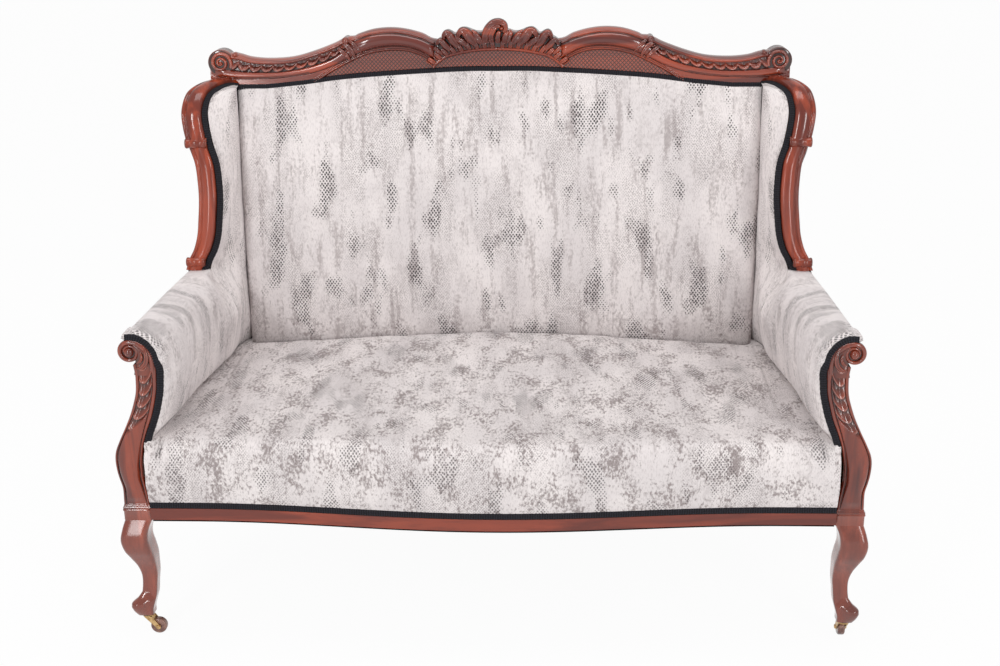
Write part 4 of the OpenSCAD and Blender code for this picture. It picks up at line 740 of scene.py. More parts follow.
def make_side(sign):
    """Inside of one arm and wing, with the arm's top and the outer side of the wing."""
    kit = Kit()
    ts = np.linspace(0, 1, 40)
    # lower part, behind the foot of the wing rail, from the seat up to the arm's height
    x_arm, y_arm = wing_section(ARM_H, ts)
    ctrl_z = [345, 400, 430, 438, 448, 465, 490, 520, 548, 575, 600, 620, 637]
    cols = []
    for k, y in enumerate(y_arm):
        pts = []
        for z in ctrl_z:
            h = (z - SEAT_H) / (ARM_H - SEAT_H)
            xa = seam(y) if z <= SEAT_H else arm_in(min(h, 0.72), y)
            w = smooth((z - 545) / (ARM_H - 545))
            pts.append([mix(xa, x_arm[k], w), z])
        cols.append(even(spline(pts, 5), 60))
    cols = np.array(cols)
    low = join(cols[..., 0].T, y_arm, cols[..., 1].T)
    # upper part along the rail
    rail = even(WING_PATH[::-1], 90)
    up = []
    for i, r in enumerate(rail[1:], 1):
        f = i / (len(rail) - 1)
        bend = smooth((r[2] - 940) / 55)
        zc = min(r[2], 985 + 14 * f) if r[2] < 985 else 985 + 12 * f
        rx = r[0] - WING_INSET
        ry = r[1] + 1.0
        y = mix(WING_BACK_Y, ry, ts)
        b = smooth((ts - 0.22) / 0.95) ** 0.92
        x = mix(BACK_HALF + 0.8, rx, b)
        z = mix(zc, r[2] + 2.0, ts ** 1.3)
        y = y - 9 * np.sin(math.pi * ts) * smooth((r[2] - 650) / 60) * (1 - bend)
        up.append(join(x, y, z))
    up = np.array(up)
    p = np.concatenate([low, up], 0)
    ease = smooth((p[..., 2] - 440) / 30) * smooth(np.minimum(ts, 1 - ts) / 0.12)[None, :]
    p[..., 0] += ease * waves(p[..., 1], p[..., 2], (1.3, 3.3, 48), (0.8, 8.1, 20))
    du = np.concatenate([np.zeros((p.shape[0], 1)),
                         np.cumsum(np.linalg.norm(np.diff(p, axis=1), axis=2), 1)], 1)
    du = du - du[:, -1:]
    uv = join(du + 900, p[..., 2])
    kit.grid(p, uv)
    wing_foot = p[:60, -1, :]
    # the arm itself, from its front to the foot of the wing
    ys = np.concatenate([np.linspace(-297.5, -280, 6)[:-1], np.linspace(-280, WING_Y0 + 1.0, 80)])
    rows, uvs = [], []
    for y in ys:
        beside = smooth((BLOCK_BACK + 14 - y) / 18)
        m = smooth((y - 30) / (WING_Y0 - 30))
        pts = [[seam(y), 345], [seam(y), 400], [seam(y), 430]]
        for h in [0.05, 0.11, 0.25, 0.39, 0.54, 0.68, 0.81, 0.91, 0.97, 1.0]:
            z = SEAT_H + h * (ARM_H - SEAT_H)
            xa = arm_in(h, y)
            xb = np.interp(z, wing_foot[:, 2], wing_foot[:, 0]) + seam(y) - seam(WING_Y0)
            pts.append([mix(xa, xb, m), z])
        x0 = pts[-1][0]
        x1 = mix(arm_out(y) + 1.0, 677.0, beside)
        crown = 2.5 * (1 - m)
        drop = mix(20.0, 12.0, beside)
        pts.append([mix(x0, x1, 0.32), ARM_H + crown])
        pts.append([mix(x0, x1, 0.62), mix(ARM_H + crown * 0.8, ARM_H - 3, beside)])
        pts.append([mix(x0, x1, 0.86), mix(ARM_H - 1.5, ARM_H - 8, beside)])
        pts.append([mix(x0, x1, 0.97), ARM_H - drop * 0.42])
        pts.append([x1 + 0.6, ARM_H - drop * 0.8])
        pts.append([x1, ARM_H - drop * 1.12])
        line = spline(pts, 5)
        # close in behind the braid at the very front
        f = smooth((-280 - y) / 17.5)
        line = even(line, 110)
        t = unit(np.gradient(line, axis=0))
        nrm = join(t[:, 1], -t[:, 0])
        line = line + nrm * TURN_IN * f ** 2
        sl = run_length(line)
        rows.append(join(line[:, 0], y, line[:, 1]))
        uvs.append(join(-y + 980, sl + 345))
    a = np.array(rows)
    auv = np.array(uvs)
    k = np.arange(a.shape[1])[None, :]
    ease = smooth((k - 22) / 12) * smooth((100 - k) / 10)
    ease = ease * smooth((ys[:, None] + 290) / 40) * smooth((WING_Y0 - ys[:, None]) / 30)
    a[..., 0] += ease * waves(a[..., 1], a[..., 2], (1.7, 1.3, 52), (1.0, 7.7, 21))
    # small gathers where the cloth turns in round the front of the arm
    g = np.exp(-((ys[:, None] + 288) / 26) ** 2) * smooth((k - 26) / 8)
    a[..., 0] -= g * 1.2 * np.sin(k * 0.8)
    a[..., 2] += g * 0.8 * np.sin(k * 0.8) * smooth((k - 70) / 10)
    kit.grid(a, auv, flip=True)
    # front end of the arm pad, behind the braid
    ring = a[0]
    post = join(np.interp(ring[:, 2], [345, 500, 560, 600, 625], [655, 625, 616, 640, 668]), ring[:, 1] + 3,
                ring[:, 2])
    post[:, 2] = np.minimum(post[:, 2], 624)
    kit.grid(np.stack([ring, post], 0), np.stack([auv[0], auv[0] + [20, 0]], 0))
    # outer side of the wing and top of it behind the rail
    out_rows = []
    for r in rail:
        z = min(r[2] - 14, 976)
        x0 = r[0] + 19
        y0 = min(r[1] + 10, 262)
        x1 = STILE_OUT + 2.6
        ty = np.linspace(0, 1, 16)
        y = mix(y0, REAR_Y + 2.2, ty)
        f = smooth((y - y0) / max(1.0, STILE_Y - y0))
        x = mix(x0, x1, f)
        zz = mix(r[2] - 6 if r[2] > 960 else z, z, smooth(ty * 3))
        x = x + 3.0 * np.sin(math.pi * np.clip(ty * 1.6, 0, 1)) * (y < STILE_Y)
        out_rows.append(join(x, y, np.minimum(zz, 992)))
    o = np.array(out_rows)
    kit.grid(o, join(o[..., 1] + 2000, o[..., 2]))
    kit, side = sided(kit, sign)
    obj = kit.build("side_pad_" + side, mat=VELVET_SIDE, slot="velvet",
                    replaces=("arm_cover_" + side, "arm_stuffing_" + side, "wing_cover_" + side,
                              "wing_stuffing_" + side))
    return obj


def make_outside(sign):
    """Cloth on the outside of one arm, from the front block round the rear leg."""
    kit = Kit()
    ys = np.concatenate([np.linspace(BLOCK_BACK + 0.4, STILE_Y, 40),
                         [STILE_Y + 15, STILE_Y + 35, REAR_Y + 2]])
    zs = np.linspace(REVEAL_TOP, ARM_HEM - 0.5, 50)
    z, y = np.meshgrid(zs, ys, indexing="ij")
    h = np.clip((z - RAIL_TOP) / (ARM_HEM - RAIL_TOP), 0, 1)
    x = mix(side_out(np.minimum(y, STILE_Y)), arm_out(np.minimum(y, STILE_Y)), h) + 2.6
    hug = np.interp(z, POST_OUTER[:, 1], POST_OUTER[:, 0]) - 2.0
    hug = np.where(z > 570, mix(656.0, 668.0, smooth((z - 570) / 45)), hug)
    x = mix(np.minimum(hug, x), x, smooth((y - BLOCK_BACK) / 300))
    inner = smooth((y - BLOCK_BACK) / 40) * smooth((STILE_Y - y) / 40)
    inner = inner * smooth((z - REVEAL_TOP) / 30) * smooth((ARM_HEM - z) / 30)
    x = x + inner * (1.6 + 1.0 * wobble(y, z, 2.2, 60))
    p = join(x, y, z)
    # behind the wing rail the cloth runs up under the wing
    p[..., 2] += 11.0 * smooth((y - 108) / 12) * np.clip((z - 560) / 54, 0, 1)
    kit.sheet(p, join(y + 3000, z), (-2.4, 0, 0))
    kit, side = sided(kit, sign)
    obj = kit.build("outside_arm_" + side, mat=VELVET_SIDE, slot="velvet",
                    replaces=("outside_panel_" + side,))
    return obj


def make_outside_back():
    """Cloth over the back of the frame."""
    x, t = np.meshgrid(np.linspace(-STILE_OUT - 2.4, STILE_OUT + 2.4, 130), np.linspace(0, 1, 60),
                       indexing="ij")
    top = np.where(np.abs(x) > 575, 988.5, np.maximum(989, crest_edge(x) - 23))
    z = mix(REVEAL_TOP, top, t)
    inner = smooth((STILE_OUT - np.abs(x)) / 60) * smooth((z - REVEAL_TOP) / 50) * smooth((top - z) / 50)
    y = REAR_Y + 2.3 + inner * (0.9 + 0.8 * wobble(x, z, 5.0, 90))
    p = join(x, y, z)
    kit = Kit()
    kit.grid(p, join(-x + 5000, z), flip=True)
    kit.grid(join(x, REAR_Y + 0.4, z), join(-x + 5000, z))
    obj = kit.build("outside_back_panel", mat=VELVET_BACK, slot="velvet", replaces=("outside_back",))
    return obj


def make_dust_cover():
    """Lining under the seat frame, sagging a little in its middle."""
    u, t = np.meshgrid(np.linspace(-1, 1, 90), np.linspace(0, 1, 40), indexing="ij")
    y = mix(rail_face(u * HEM_HALF) + 5, 303.0, t)
    half = np.interp(y, [-300, -243, 258, 262, 303], [HEM_HALF, 698, 622, 577, 577])
    half = np.where(y < BLOCK_BACK, HEM_HALF, half)
    sag = 1.2 * np.sin(math.pi * t) * (1 - u * u)
    p = join(u * half, y, RAIL_LOW - 4 - 0.7 - 0.5 - sag * 0.6)
    kit = Kit()
    kit.sheet(p, p[..., :2], (0, 0, 1.0), flip=True)
    obj = kit.build("dust_lining", mat=LINING, slot="lining", replaces=("dust_cover",))
    return obj


# Braid


def braid(kit, path, out, width=BRAID_W, height=4.0):
    """Gimp braid along a path: two cords side by side, bound crosswise. out is its face direction."""
    p = np.asarray(path, float)
    n = int(run_length(p)[-1] / BRAID_STEP)
    p = even(p, n)
    o = np.asarray(out, float)
    if o.ndim == 1:
        o = np.tile(o, (n, 1))
    else:
        o = even(o, n) if len(o) != n else o
    sec = []
    for a in np.linspace(-1, 1, 13):
        lobe = abs(math.sin(math.pi * (a + 1)))
        edge = math.sqrt(max(0.0, 1 - abs(a) ** 3.2))
        sec.append((a * width / 2, height * edge * (0.62 + 0.38 * lobe)))
    sec += [(width / 2 * 0.96, -0.2), (-width / 2 * 0.96, -0.2)]
    sec = np.array(sec)
    t = unit(np.gradient(p, axis=0))
    side = unit(np.cross(t, o))
    outn = np.cross(side, t)
    s = np.arange(n) * BRAID_STEP
    rib = 0.62 + 0.38 * np.abs(np.cos(math.pi * s / BRAID_PITCH))
    skew = np.sin(math.pi * s / BRAID_PITCH)
    across = sec[None, :, 0:1] * (0.97 + 0.03 * skew[:, None, None])
    raised = sec[None, :, 1:2] * np.where(sec[None, :, 1:2] > 0, rib[:, None, None], 1.0)
    ring = p[:, None, :] + side[:, None, :] * across + outn[:, None, :] * raised
    u = sec[:, 0][None, :].repeat(n, 0)
    v = s[:, None].repeat(len(sec), 1)
    kit.grid(ring, join(u, v), close_v=True, caps=True)


def make_braids():
    """The four runs of braid."""
    # along the front rail
    x = np.linspace(-650, 650, 260)
    face = join(x, rail_face(x) + 1.2, REVEAL_TOP + 6.5)
    kit = Kit()
    braid(kit, face, (0, -1, 0), 13.5, 4.0)
    kit.build("seat_gimp", mat=GIMP, slot="braid", replaces=("seat_braid",))
    # under the crest
    x = np.linspace(-568, 568, 240)
    line = join(x, CREST_Y - 1.0, np.maximum(990, crest_edge(x) - BRAID_W) + 6.5)
    kit = Kit()
    braid(kit, line, (0, -1, 0.15), 14.5, 4.2)
    kit.build("back_gimp", mat=GIMP, slot="braid", replaces=("back_braid",))
    # inside the wing rails, and turning out under their feet
    one = Kit()
    rail = even(WING_PATH, 140)
    t = np.gradient(rail, axis=0)
    outward = unit(join(-0.25, t[:, 2], -t[:, 1]))
    path = rail + np.array([-20 - 5.5, 0, 0]) + outward * 1.5
    foot = path[-1]
    turn = np.array([[foot[0] + 3, foot[1] - 0.5, 641], [foot[0] + 14, foot[1] - 1, 638.5],
                     [foot[0] + 30, foot[1], 638.5],
                     [foot[0] + 38, foot[1] + 1, 638.5]])
    path = np.vstack([path[:-4], spline(np.vstack([path[-5:-4], turn]), 6)[1:]])
    outs = np.vstack([outward[:-4], np.tile([-0.15, -1, 0.0], (len(path) - len(outward) + 4, 1))])
    braid(one, path, outs, 14.0, 4.4)
    paired(one).build("wing_gimp", mat=GIMP, slot="braid", replaces=("wing_braids",))
    # round the front of each arm
    edge = POST_INNER[(POST_INNER[:, 1] > 414) & (POST_INNER[:, 1] < 570)]
    t = unit(np.gradient(edge, axis=0))
    edge = edge + join(-t[:, 1], t[:, 0]) * 6.0
    over = np.array([[616.0, 584], [620, 599], [628.5, 613], [641, 623.5], [654, 628.3], [669, 628.0]])
    line = even(spline(np.vstack([even(edge, 8), over]), 12), 160)
    t = unit(np.gradient(line, axis=0))
    nrm = join(t[:, 1], -t[:, 0])
    path = join(line[:, 0], POST_Y + 1.0, line[:, 1])
    outs = join(-nrm[:, 0] * 0.35, -1.0, -nrm[:, 1] * 0.35)
    one = Kit()
    braid(one, path, outs, 14.0, 4.6)
    paired(one).build("arm_gimp", mat=GIMP, slot="braid", replaces=("arm_braids",))


# Carving helpers


def leaf(kit, path, widths, depth, vein=0.35):
    """A carved leaf or tongue: a tapered ridge with a hollow along its middle."""
    p = spline(path, 8)
    m = len(p)
    w = np.interp(np.linspace(0, 1, m), np.linspace(0, 1, len(widths)), widths)
    sec, ring_shade = [], []
    for a in np.linspace(0, math.pi, 18):
        c, s = math.cos(a), math.sin(a)
        sec.append((c, s ** 0.8 * (1 - vein * math.exp(-(c / 0.30) ** 2))))
        # ring_shade: painted shade in the middle slit and where the edges and foot meet the ground, painted
        # highlight on the shoulders
        slit = 0.8 * math.exp(-(c / 0.20) ** 2) * min(1, vein * 2.2)
        ring_shade.append(slit + 0.85 * (abs(c) > 0.93) - 0.42 * math.exp(-((abs(c) - 0.62) / 0.2) ** 2))
    sec += [(-1, -0.6), (1, -0.6)]
    ring_shade += [0.9, 0.9]
    d = depth * np.clip(w / max(widths), 0.12, 1) ** 0.6
    ring = tube(p, sec, scale=join(w / 2, d))
    kit.bar(ring, dark=np.array(ring_shade)[None, :])


def ball(kit, c, r, flat=(1, 1, 1), n=20, dark=0.0):
    """A boss: a ball, flattened by three factors."""
    a = np.linspace(0.02, math.pi - 0.02, n)
    b = np.linspace(0, 2 * math.pi, 2 * n, endpoint=False)
    aa, bb = np.meshgrid(a, b, indexing="ij")
    p = join(c[0] + r * flat[0] * np.sin(aa) * np.cos(bb), c[1] + r * flat[1] * np.cos(aa),
             c[2] + r * flat[2] * np.sin(aa) * np.sin(bb))
    # dark: painted highlight where below 0
    kit.grid(p, close_v=True, dark=dark)


def leaves(kit, table):
    """Leaves on the crest, each given as its path (x, z, how far out), its widths and its depth."""
    for path, w, depth in table:
        leaf(kit, [(x, CREST_Y - out, z) for x, z, out in path], w, depth, vein=0.20)


def spiral(kit, c, y, r0, r1, turns, start, ridge, depth, sense=1):
    """A carved volute: a ridge winding in from r0 to r1 on a disc, with a boss in its eye."""
    t = np.linspace(0, 1, 150)
    a = np.radians(start) + sense * 2 * math.pi * turns * t
    r = mix(r0, r1, t ** 0.85) - ridge * mix(1.0, 0.55, t) / 2
    p = join(c[0] + r * np.cos(a), y, c[1] + r * np.sin(a))
    # painted shade at the foot of the ridge, painted highlight on its crown and on the boss
    ring_shade = [0.6, 0.1, -0.2, -0.35, -0.4, -0.4, -0.4, -0.4, -0.35, -0.2, 0.1, 0.6, 0.9, 0.9]
    w = ridge * mix(1.0, 0.6, t) / 2
    ring = tube(p, half_round(-0.4), scale=join(w, depth * mix(1.0, 0.9, t)))
    kit.bar(ring, dark=np.array(ring_shade)[None, :])
    ball(kit, (c[0], y - 0.5, c[1]), r1 * 0.78, (1, depth / r1, 1), 12, -0.3)


def disc(kit, c, r, y0, y1, n=64, edge=2.0, dark=0.0):
    """A round plate from y0 to y1 with a rounded edge at y0."""
    rings = []
    for rr, yy in [(0.01, y0), (r - edge, y0), (r - edge * 0.3, y0 + edge * 0.3), (r, y0 + edge), (r, y1),
                   (0.01, y1)]:
        ring = arc_points((c[0], c[1]), rr, 0, 360, n + 1)[:-1]
        rings.append(join(ring[:, 0], yy, ring[:, 1]))
    # dark paints shade over the front face and part of its rounded edge
    kit.grid(np.array(rings), close_v=True, flip=True, dark=np.array([1, 1, 0.3, 0, 0, 0])[:, None] * dark)


def set_mark(obj, name, values):
    """A value at each point that the wood's material reads."""
    layer = obj.data.attributes.new(name, "FLOAT", "POINT")
    layer.data.foreach_set("value", np.asarray(values, np.float32).ravel())


def hollow_shade(obj):
    """1 in the hollows of a carved mesh and 0 on its swellings, for painted shade."""
    mesh = obj.data
    n = len(mesh.vertices)
    co = np.zeros(n * 3)
    mesh.vertices.foreach_get("co", co)
    co = co.reshape(-1, 3)
    nor = np.zeros(n * 3)
    mesh.vertex_normals.foreach_get("vector", nor)
    nor = nor.reshape(-1, 3)
    e = np.zeros(len(mesh.edges) * 2, dtype=np.int64)
    mesh.edges.foreach_get("vertices", e)
    e = e.reshape(-1, 2)
    both = np.concatenate([e, e[:, ::-1]])
    d = co[both[:, 1]] - co[both[:, 0]]
    length = np.linalg.norm(d, axis=1)
    count = np.maximum(np.bincount(both[:, 0], minlength=n), 1)
    lean = np.bincount(both[:, 0], (d * nor[both[:, 0]]).sum(1), minlength=n) / count
    size = np.bincount(both[:, 0], length, minlength=n) / count
    v = lean / np.maximum(size, 1e-7)
    for _ in range(2):
        v = 0.4 * v + 0.6 * np.bincount(both[:, 0], v[both[:, 1]], minlength=n) / count
    return np.clip(v * 4.5, 0, 1)


# Crest

CREST_TOP_LINE = spline([[0, 1091], [60, 1091], [100, 1090], [136, 1091.5], [160.6, 1103.1], [194.7, 1112],
                         [228.2, 1115.1], [262.9, 1112], [293.3, 1103.1], [303.8, 1098], [318, 1097],
                         [329.8, 1092], [350.9, 1082], [394.9, 1066.1], [438.3, 1055], [486.7, 1052],
                         [525.1, 1055.1], [546.2, 1061], [560, 1064], [575, 1064], [600, 1062],
                         [613, 1050]], 6)
# upper and lower limit of the long smooth moulding that forms the arch and runs on under the tongues
SWEEP_TOP = spline([[120, 1078], [136, 1085], [160, 1097], [195, 1106], [228, 1109], [263, 1106],
                    [293, 1097], [312, 1086], [332, 1070], [356, 1055], [400, 1040], [463, 1029.5],
                    [520, 1029], [560, 1032], [610, 1038]], 6)
SWEEP_LOW = spline([[120, 1050], [137, 1056], [160, 1070], [181, 1078], [212, 1082], [247, 1080],
                    [282, 1071.5], [316, 1057], [351, 1040.5], [398, 1025.5], [463, 1016.5], [552, 1014],
                    [590, 1018], [612, 1026]], 6)
HATCH_TOP = spline([[137, 1046], [152, 1057], [181, 1069], [212, 1073], [247, 1071], [282, 1063],
                    [316, 1048], [351, 1030], [378, 1013], [400, 1002]], 6)
LUNETTE = spline([[0, 1073], [43, 1071], [80, 1065], [109, 1057], [131, 1042], [137, 1034]], 6)


def bump01(t):
    """Half-round profile over 0..1, nothing outside."""
    return np.sqrt(np.clip(1 - (2 * t - 1) ** 2, 0, 1)) * ((t > 0) & (t < 1))


def crest_relief(x, z):
    """How far the carved face stands out, its painted shade in hollows and grooves and painted highlight on
    beads and lobe edges, and where it is hatched.
    """
    zt = line_at(x, CREST_TOP_LINE)
    su, sl = line_at(x, SWEEP_TOP), line_at(x, SWEEP_LOW)
    h = np.full_like(x, 1.0)
    dark = np.zeros_like(x)
    # cross-hatched sunk panels, with painted shade along their upper edge
    ht = np.where(x < 137, line_at(x, LUNETTE) - 0.5, line_at(x, HATCH_TOP))
    in_panel = (z < ht) & (x < 400)
    rim = smooth((ht - z) / 2.0)
    h = np.where(in_panel, mix(1.0, -2.0, rim), h)
    hatch = np.where(in_panel, rim, 0.0)
    dark = np.where(in_panel, 0.75 * np.exp(-((ht - z) / 1.6) ** 2), dark)
    # double bead over the panels: painted highlight on the beads, painted shade in the groove between them
    for off, wid, hi in ((0.4, 3.6, 2.8), (4.4, 3.4, 2.4)):
        t = (z - ht - off) / wid
        on = (x < 392) & (t > 0) & (t < 1)
        h = np.where(on, 1.0 + hi * bump01(t), h)
        dark = np.where(on, -0.30 * bump01(t), dark)
    t = z - ht - 4.2
    dark = np.where((np.abs(t) < 0.6) & (x < 392), 0.95, dark)
    # smooth moulding: arch and long sweep, with a painted highlight along the sweep's crown and painted shade
    # in the groove at its foot
    t = (z - sl) / np.maximum(su - sl, 1)
    fat = mix(6.0, 12.0, smooth((330 - x) / 60)) * smooth((x - 122) / 22)
    fade = smooth((612 - x) / 30)
    inside = (x > 128) & (t > 0) & (t < 1)
    h = np.where(inside, 1.4 + fat * fade * bump01(t) ** 0.8, h)
    dark = np.where(inside, -0.16 * smooth((x - 330) / 60) * bump01(t), dark)
    dark = np.where((x > 128) & (np.abs(z - sl) < 1.0) & (x < 600), 0.95, dark)
    # a thin line runs along the lower part of the sweep: a shallow groove painted dark as shade
    line = (x > 400) & (x < 590) & (np.abs(t - 0.20) < 0.07)
    dark = np.where(line, 0.75, dark)
    h = np.where(line, h - 0.9, h)
    # top bead on the arch, with painted shade in the groove under it
    t = (z - (zt - 6.5)) / 6.5
    arch = (x > 133) & (x < 306)
    h = np.where(arch & (t > 0), 2.0 + 4.0 * bump01(np.clip(t, 0, 1)), h)
    dark = np.where(arch & (t > 0), 0.0, dark)
    dark = np.where(arch & (np.abs(z - (zt - 7.2)) < 1.0), 0.95, dark)
    # rolled top of the dip, with painted shade at its foot
    dip = (x >= 306) & (x < 566)
    roll = 7.5
    t = (z - (zt - roll)) / roll
    end = smooth((x - 306) / 10)
    h = np.where(dip & (t > 0), 2.0 + end * (7.5 * bump01(np.clip(t * 0.90 + 0.06, 0, 1)) ** 0.8), h)
    dark = np.where(dip & (t > 0), 0.6 * np.exp(-((t - 0.02) / 0.10) ** 2), dark)
    # a row of leaf tongues under the roll, each ending in a rounded lobe on the sweep
    lo = su - 1.5
    hi = zt - roll
    band = dip & (z < hi) & (z > lo) & (x > 318)
    pitch = 25.0
    ph = (x - 556 + 0.22 * (z - lo)) / pitch
    f = ph - np.floor(ph)
    u = (f - 0.5) * 2
    tt = np.clip((z - lo) / np.maximum(hi - lo, 1), 0, 1)
    foot = 0.04 + 0.56 * (1 - np.sqrt(np.clip(1 - (u * 0.985) ** 2, 0, 1)))
    on = smooth((tt - foot) / 0.12)
    lobe = np.sqrt(np.clip(1 - (u * 0.98) ** 2, 0, 1))
    scoop = smooth((tt - foot - 0.30) / 0.38)
    g = -2.2 + on * (3.4 + 6.2 * lobe * (1 - 0.86 * scoop))
    vein = np.exp(-((u - 0.08) / 0.11) ** 2) * smooth((tt - 0.10) / 0.25)
    g = g - 1.4 * vein * on
    # painted shade between the lobes, in their scoops under the roll and along the vein; painted highlight
    # along each lobe's lower edge
    edge_light = np.exp(-((tt - foot - 0.15) / 0.13) ** 2) * on
    shade = mix(0.95, np.clip(0.12 + 0.50 * scoop - 1.35 * edge_light + 0.34 * vein, -1.0, 1.0), on)
    h = np.where(band, np.maximum(g, np.where(inside & (tt < 0.2), 0.2, -2.0)), h)
    dark = np.where(band, shade, dark)
    # lower flat, under the sweep
    flat = (z < sl - 1.0) & (x >= 392)
    h = np.where(flat, 1.6, h)
    # field behind the shell, in painted shade
    mid = (x <= 133) & (z >= ht + 7.8)
    h = np.where(mid, 0.4, h)
    dark = np.where(mid, 0.8, dark)
    return h, dark, hatch


def make_crest():
    """Crest rail with its relief, the end scrolls and the shell."""
    kit = Kit()
    for sign in (1, -1):
        right = sign > 0
        x, t = np.meshgrid(np.linspace(0.0, 613.0, 490), np.linspace(0, 1, 104), indexing="ij")
        low = np.maximum(CREST_FOOT, crest_edge(x) - 11.5)
        low = np.where(x > 569, CREST_FOOT, low)
        top = line_at(x, CREST_TOP_LINE)
        z = mix(low, top, t)
        h, dark, hatch = crest_relief(x, z)
        # round the top edge over
        edge = np.clip((top - z) / 5.0, 0, 1)
        h = h - 4.0 * (1 - np.sqrt(1 - (1 - edge) ** 2))
        front = join(x * sign, CREST_Y - h, z)
        back = join(x * sign, CREST_Y + CREST_T, z)
        kit.grid(front, flip=not right, dark=dark, hatch=hatch)
        kit.grid(back[::6, ::12], flip=right)
        roll = [front[:, -1]]
        for a in (0.08, 0.3, 0.5, 0.7, 0.92):
            roll.append(mix(front[:, -1], back[:, -1], a) + [0, 0, 3.6 * math.sin(math.pi * a) ** 0.7])
        kit.grid(np.stack(roll + [back[:, -1]], 1), flip=not right)
        kit.grid(np.stack([back[:, 0], front[:, 0]], 1), flip=not right)
        kit.grid(np.stack([front[-1], back[-1]], 0), flip=not right)
    kit.build("crest_body", mat=WOOD_X, slot="show_wood", replaces=("crest_rail",))
    # end volutes, buds and small scrolls
    one = Kit()
    c = (589.0, 1048.0)
    # painted shade on the face of the volute's disc, painted highlight on the small scroll's boss
    disc(one, c, 27.5, CREST_Y - 3.0, CREST_Y + CREST_T - 0.8, edge=2.5, dark=1.0)
    spiral(one, c, CREST_Y - 3.0, 27.8, 4.6, 2.05, 205, 8.4, 6.2, sense=-1)
    ball(one, (557.5, CREST_Y + 4, 1064.0), 6.6, (1, 2.2, 1), 12)
    s = (320.5, 1092.5)
    disc(one, s, 8.2, CREST_Y - 7, CREST_Y + CREST_T - 2, 32, 1.5)
    ball(one, (s[0], CREST_Y - 6.5, s[1]), 7.2, (1, 0.7, 1), 12, -0.2)
    # leaves that grow out of the moulding behind the small scroll
    for path, w in (([(324, 1087), (314, 1080), (306, 1070), (301, 1059)], [8, 12, 9, 2]),
                    ([(311, 1093), (302, 1086), (293, 1077), (286, 1068)], [5, 9, 7, 1.5]),
                    ([(336, 1077), (327, 1071), (318, 1063), (312, 1054)], [6, 10, 8, 2])):
        leaf(one, [(q[0], CREST_Y - 7 - 3 * math.sin(k), q[1]) for k, q in enumerate(path)], w, 4.2)
    paired(one).build("crest_scrolls", mat=WOOD_X, slot="show_wood", hollows=0.4)
    # shell: upright flutes that fan out over the lunette
    half = Kit()
    arch = LUNETTE
    run = run_length(arch)
    for k in range(9):
        s0 = 9.6 + k * 15.6
        if s0 > run[-1] - 3:
            break
        ang = math.radians(90 - np.interp(s0, run, arch[:, 0]) * 0.42)
        d = np.array([math.cos(ang), math.sin(ang)])
        ln = 21 - k * 0.8
        for shift, w, out in ((0.0, (8.5, 10.5, 10.0, 7.5), 5.4), (7.8, (2.2, 3.2, 3.2, 2.4), 3.6)):
            ax = np.interp(s0 + shift, run, arch[:, 0])
            az = np.interp(s0 + shift, run, arch[:, 1])
            base = np.array([ax, az]) + d * 6.0
            pts = [(base + d * ln * q, lift) for q, lift in ((0, 0.4), (0.35, 0.9), (0.7, 1.15), (1.0, 1.0))]
            leaf(half, [(q[0], CREST_Y - 2.5 - out * lift, q[1]) for q, lift in pts], w, out,
                 vein=0.0 if shift else 0.25)
    # bead arch over the lunette, with a faint painted highlight
    pts = join(arch[:, 0], CREST_Y - 2.6, arch[:, 1] + 2.6)
    half.bar(tube(pts, circle(10, 3.5)), dark=-0.15)
    # foliage: each leaf rises from the flutes and curls over outwards at its tip
    leaves(half, (
        ([(20, 1090, 9), (24, 1100, 12), (27, 1108, 12), (26, 1114, 9)], [10, 13, 12, 6], 7),
        ([(33, 1089, 9), (40, 1098, 13), (48, 1107, 14), (55, 1113, 13)], [12, 17, 17, 9], 9),
        ([(47, 1088, 9), (56, 1099, 14), (64, 1110, 18), (73, 1114.5, 19), (80, 1109, 18), (81, 1102, 16)],
         [14, 22, 22, 16, 11, 6], 12),
        ([(66, 1085, 8), (74, 1092, 12), (84, 1098, 15), (90, 1102, 14)], [11, 15, 13, 6], 8),
        ([(84, 1083, 8), (93, 1094, 13), (99, 1105, 17), (106, 1110, 18), (112, 1105, 16), (112, 1099, 14)],
         [12, 18, 18, 14, 9, 5], 11),
        ([(101, 1076, 7), (110, 1085, 11), (117, 1093, 14), (123, 1093, 14), (126, 1087, 12)],
         [11, 15, 14, 10, 5], 9),
        ([(118, 1066, 5), (125, 1072, 8), (130, 1077, 9), (134, 1074, 8)], [7, 10, 9, 4], 6),
    ))
    # rolled tips, with a faint painted highlight
    for cx, cz, r, out in ((81, 1103.5, 4.6, 17), (112, 1100, 4.2, 15), (126.5, 1087.5, 3.6, 12)):
        ball(half, (cx, CREST_Y - out, cz), r, (1.0, 1.1, 1.0), 12, -0.15)
    # the body of the shell, behind the foliage, painted dark as shade except at its top
    top = [[0, 1132], [12, 1129], [19, 1116], [26, 1113], [36, 1110], [46, 1110.5], [56, 1114],
           [66, 1117.5], [75, 1117.5], [83, 1112], [88, 1107], [93, 1107.5], [99, 1111], [106, 1113],
           [113, 1109], [117, 1100], [122, 1097], [127, 1093], [131, 1084], [134, 1078]]
    top = spline(top, 3)
    xs = top[:, 0]
    foot = line_at(xs, LUNETTE) + 6
    rows = []
    for yy, k in ((CREST_Y - 5, 0), (CREST_Y - 7, 0.5), (CREST_Y - 6.5, 0.92), (CREST_Y - 2, 0.985),
                  (CREST_Y + 4, 1.0),
                  (CREST_Y + CREST_T - 8, 1.0), (CREST_Y + CREST_T - 0.8, 0.96),
                  (CREST_Y + CREST_T - 0.8, 0.0)):
        rows.append(join(xs, yy, mix(foot, top[:, 1], k)))
    half.grid(np.array(rows), dark=np.array([1, 1, 0.8, 0.2, 0, 0, 0, 0])[:, None])
    shell = paired(half)
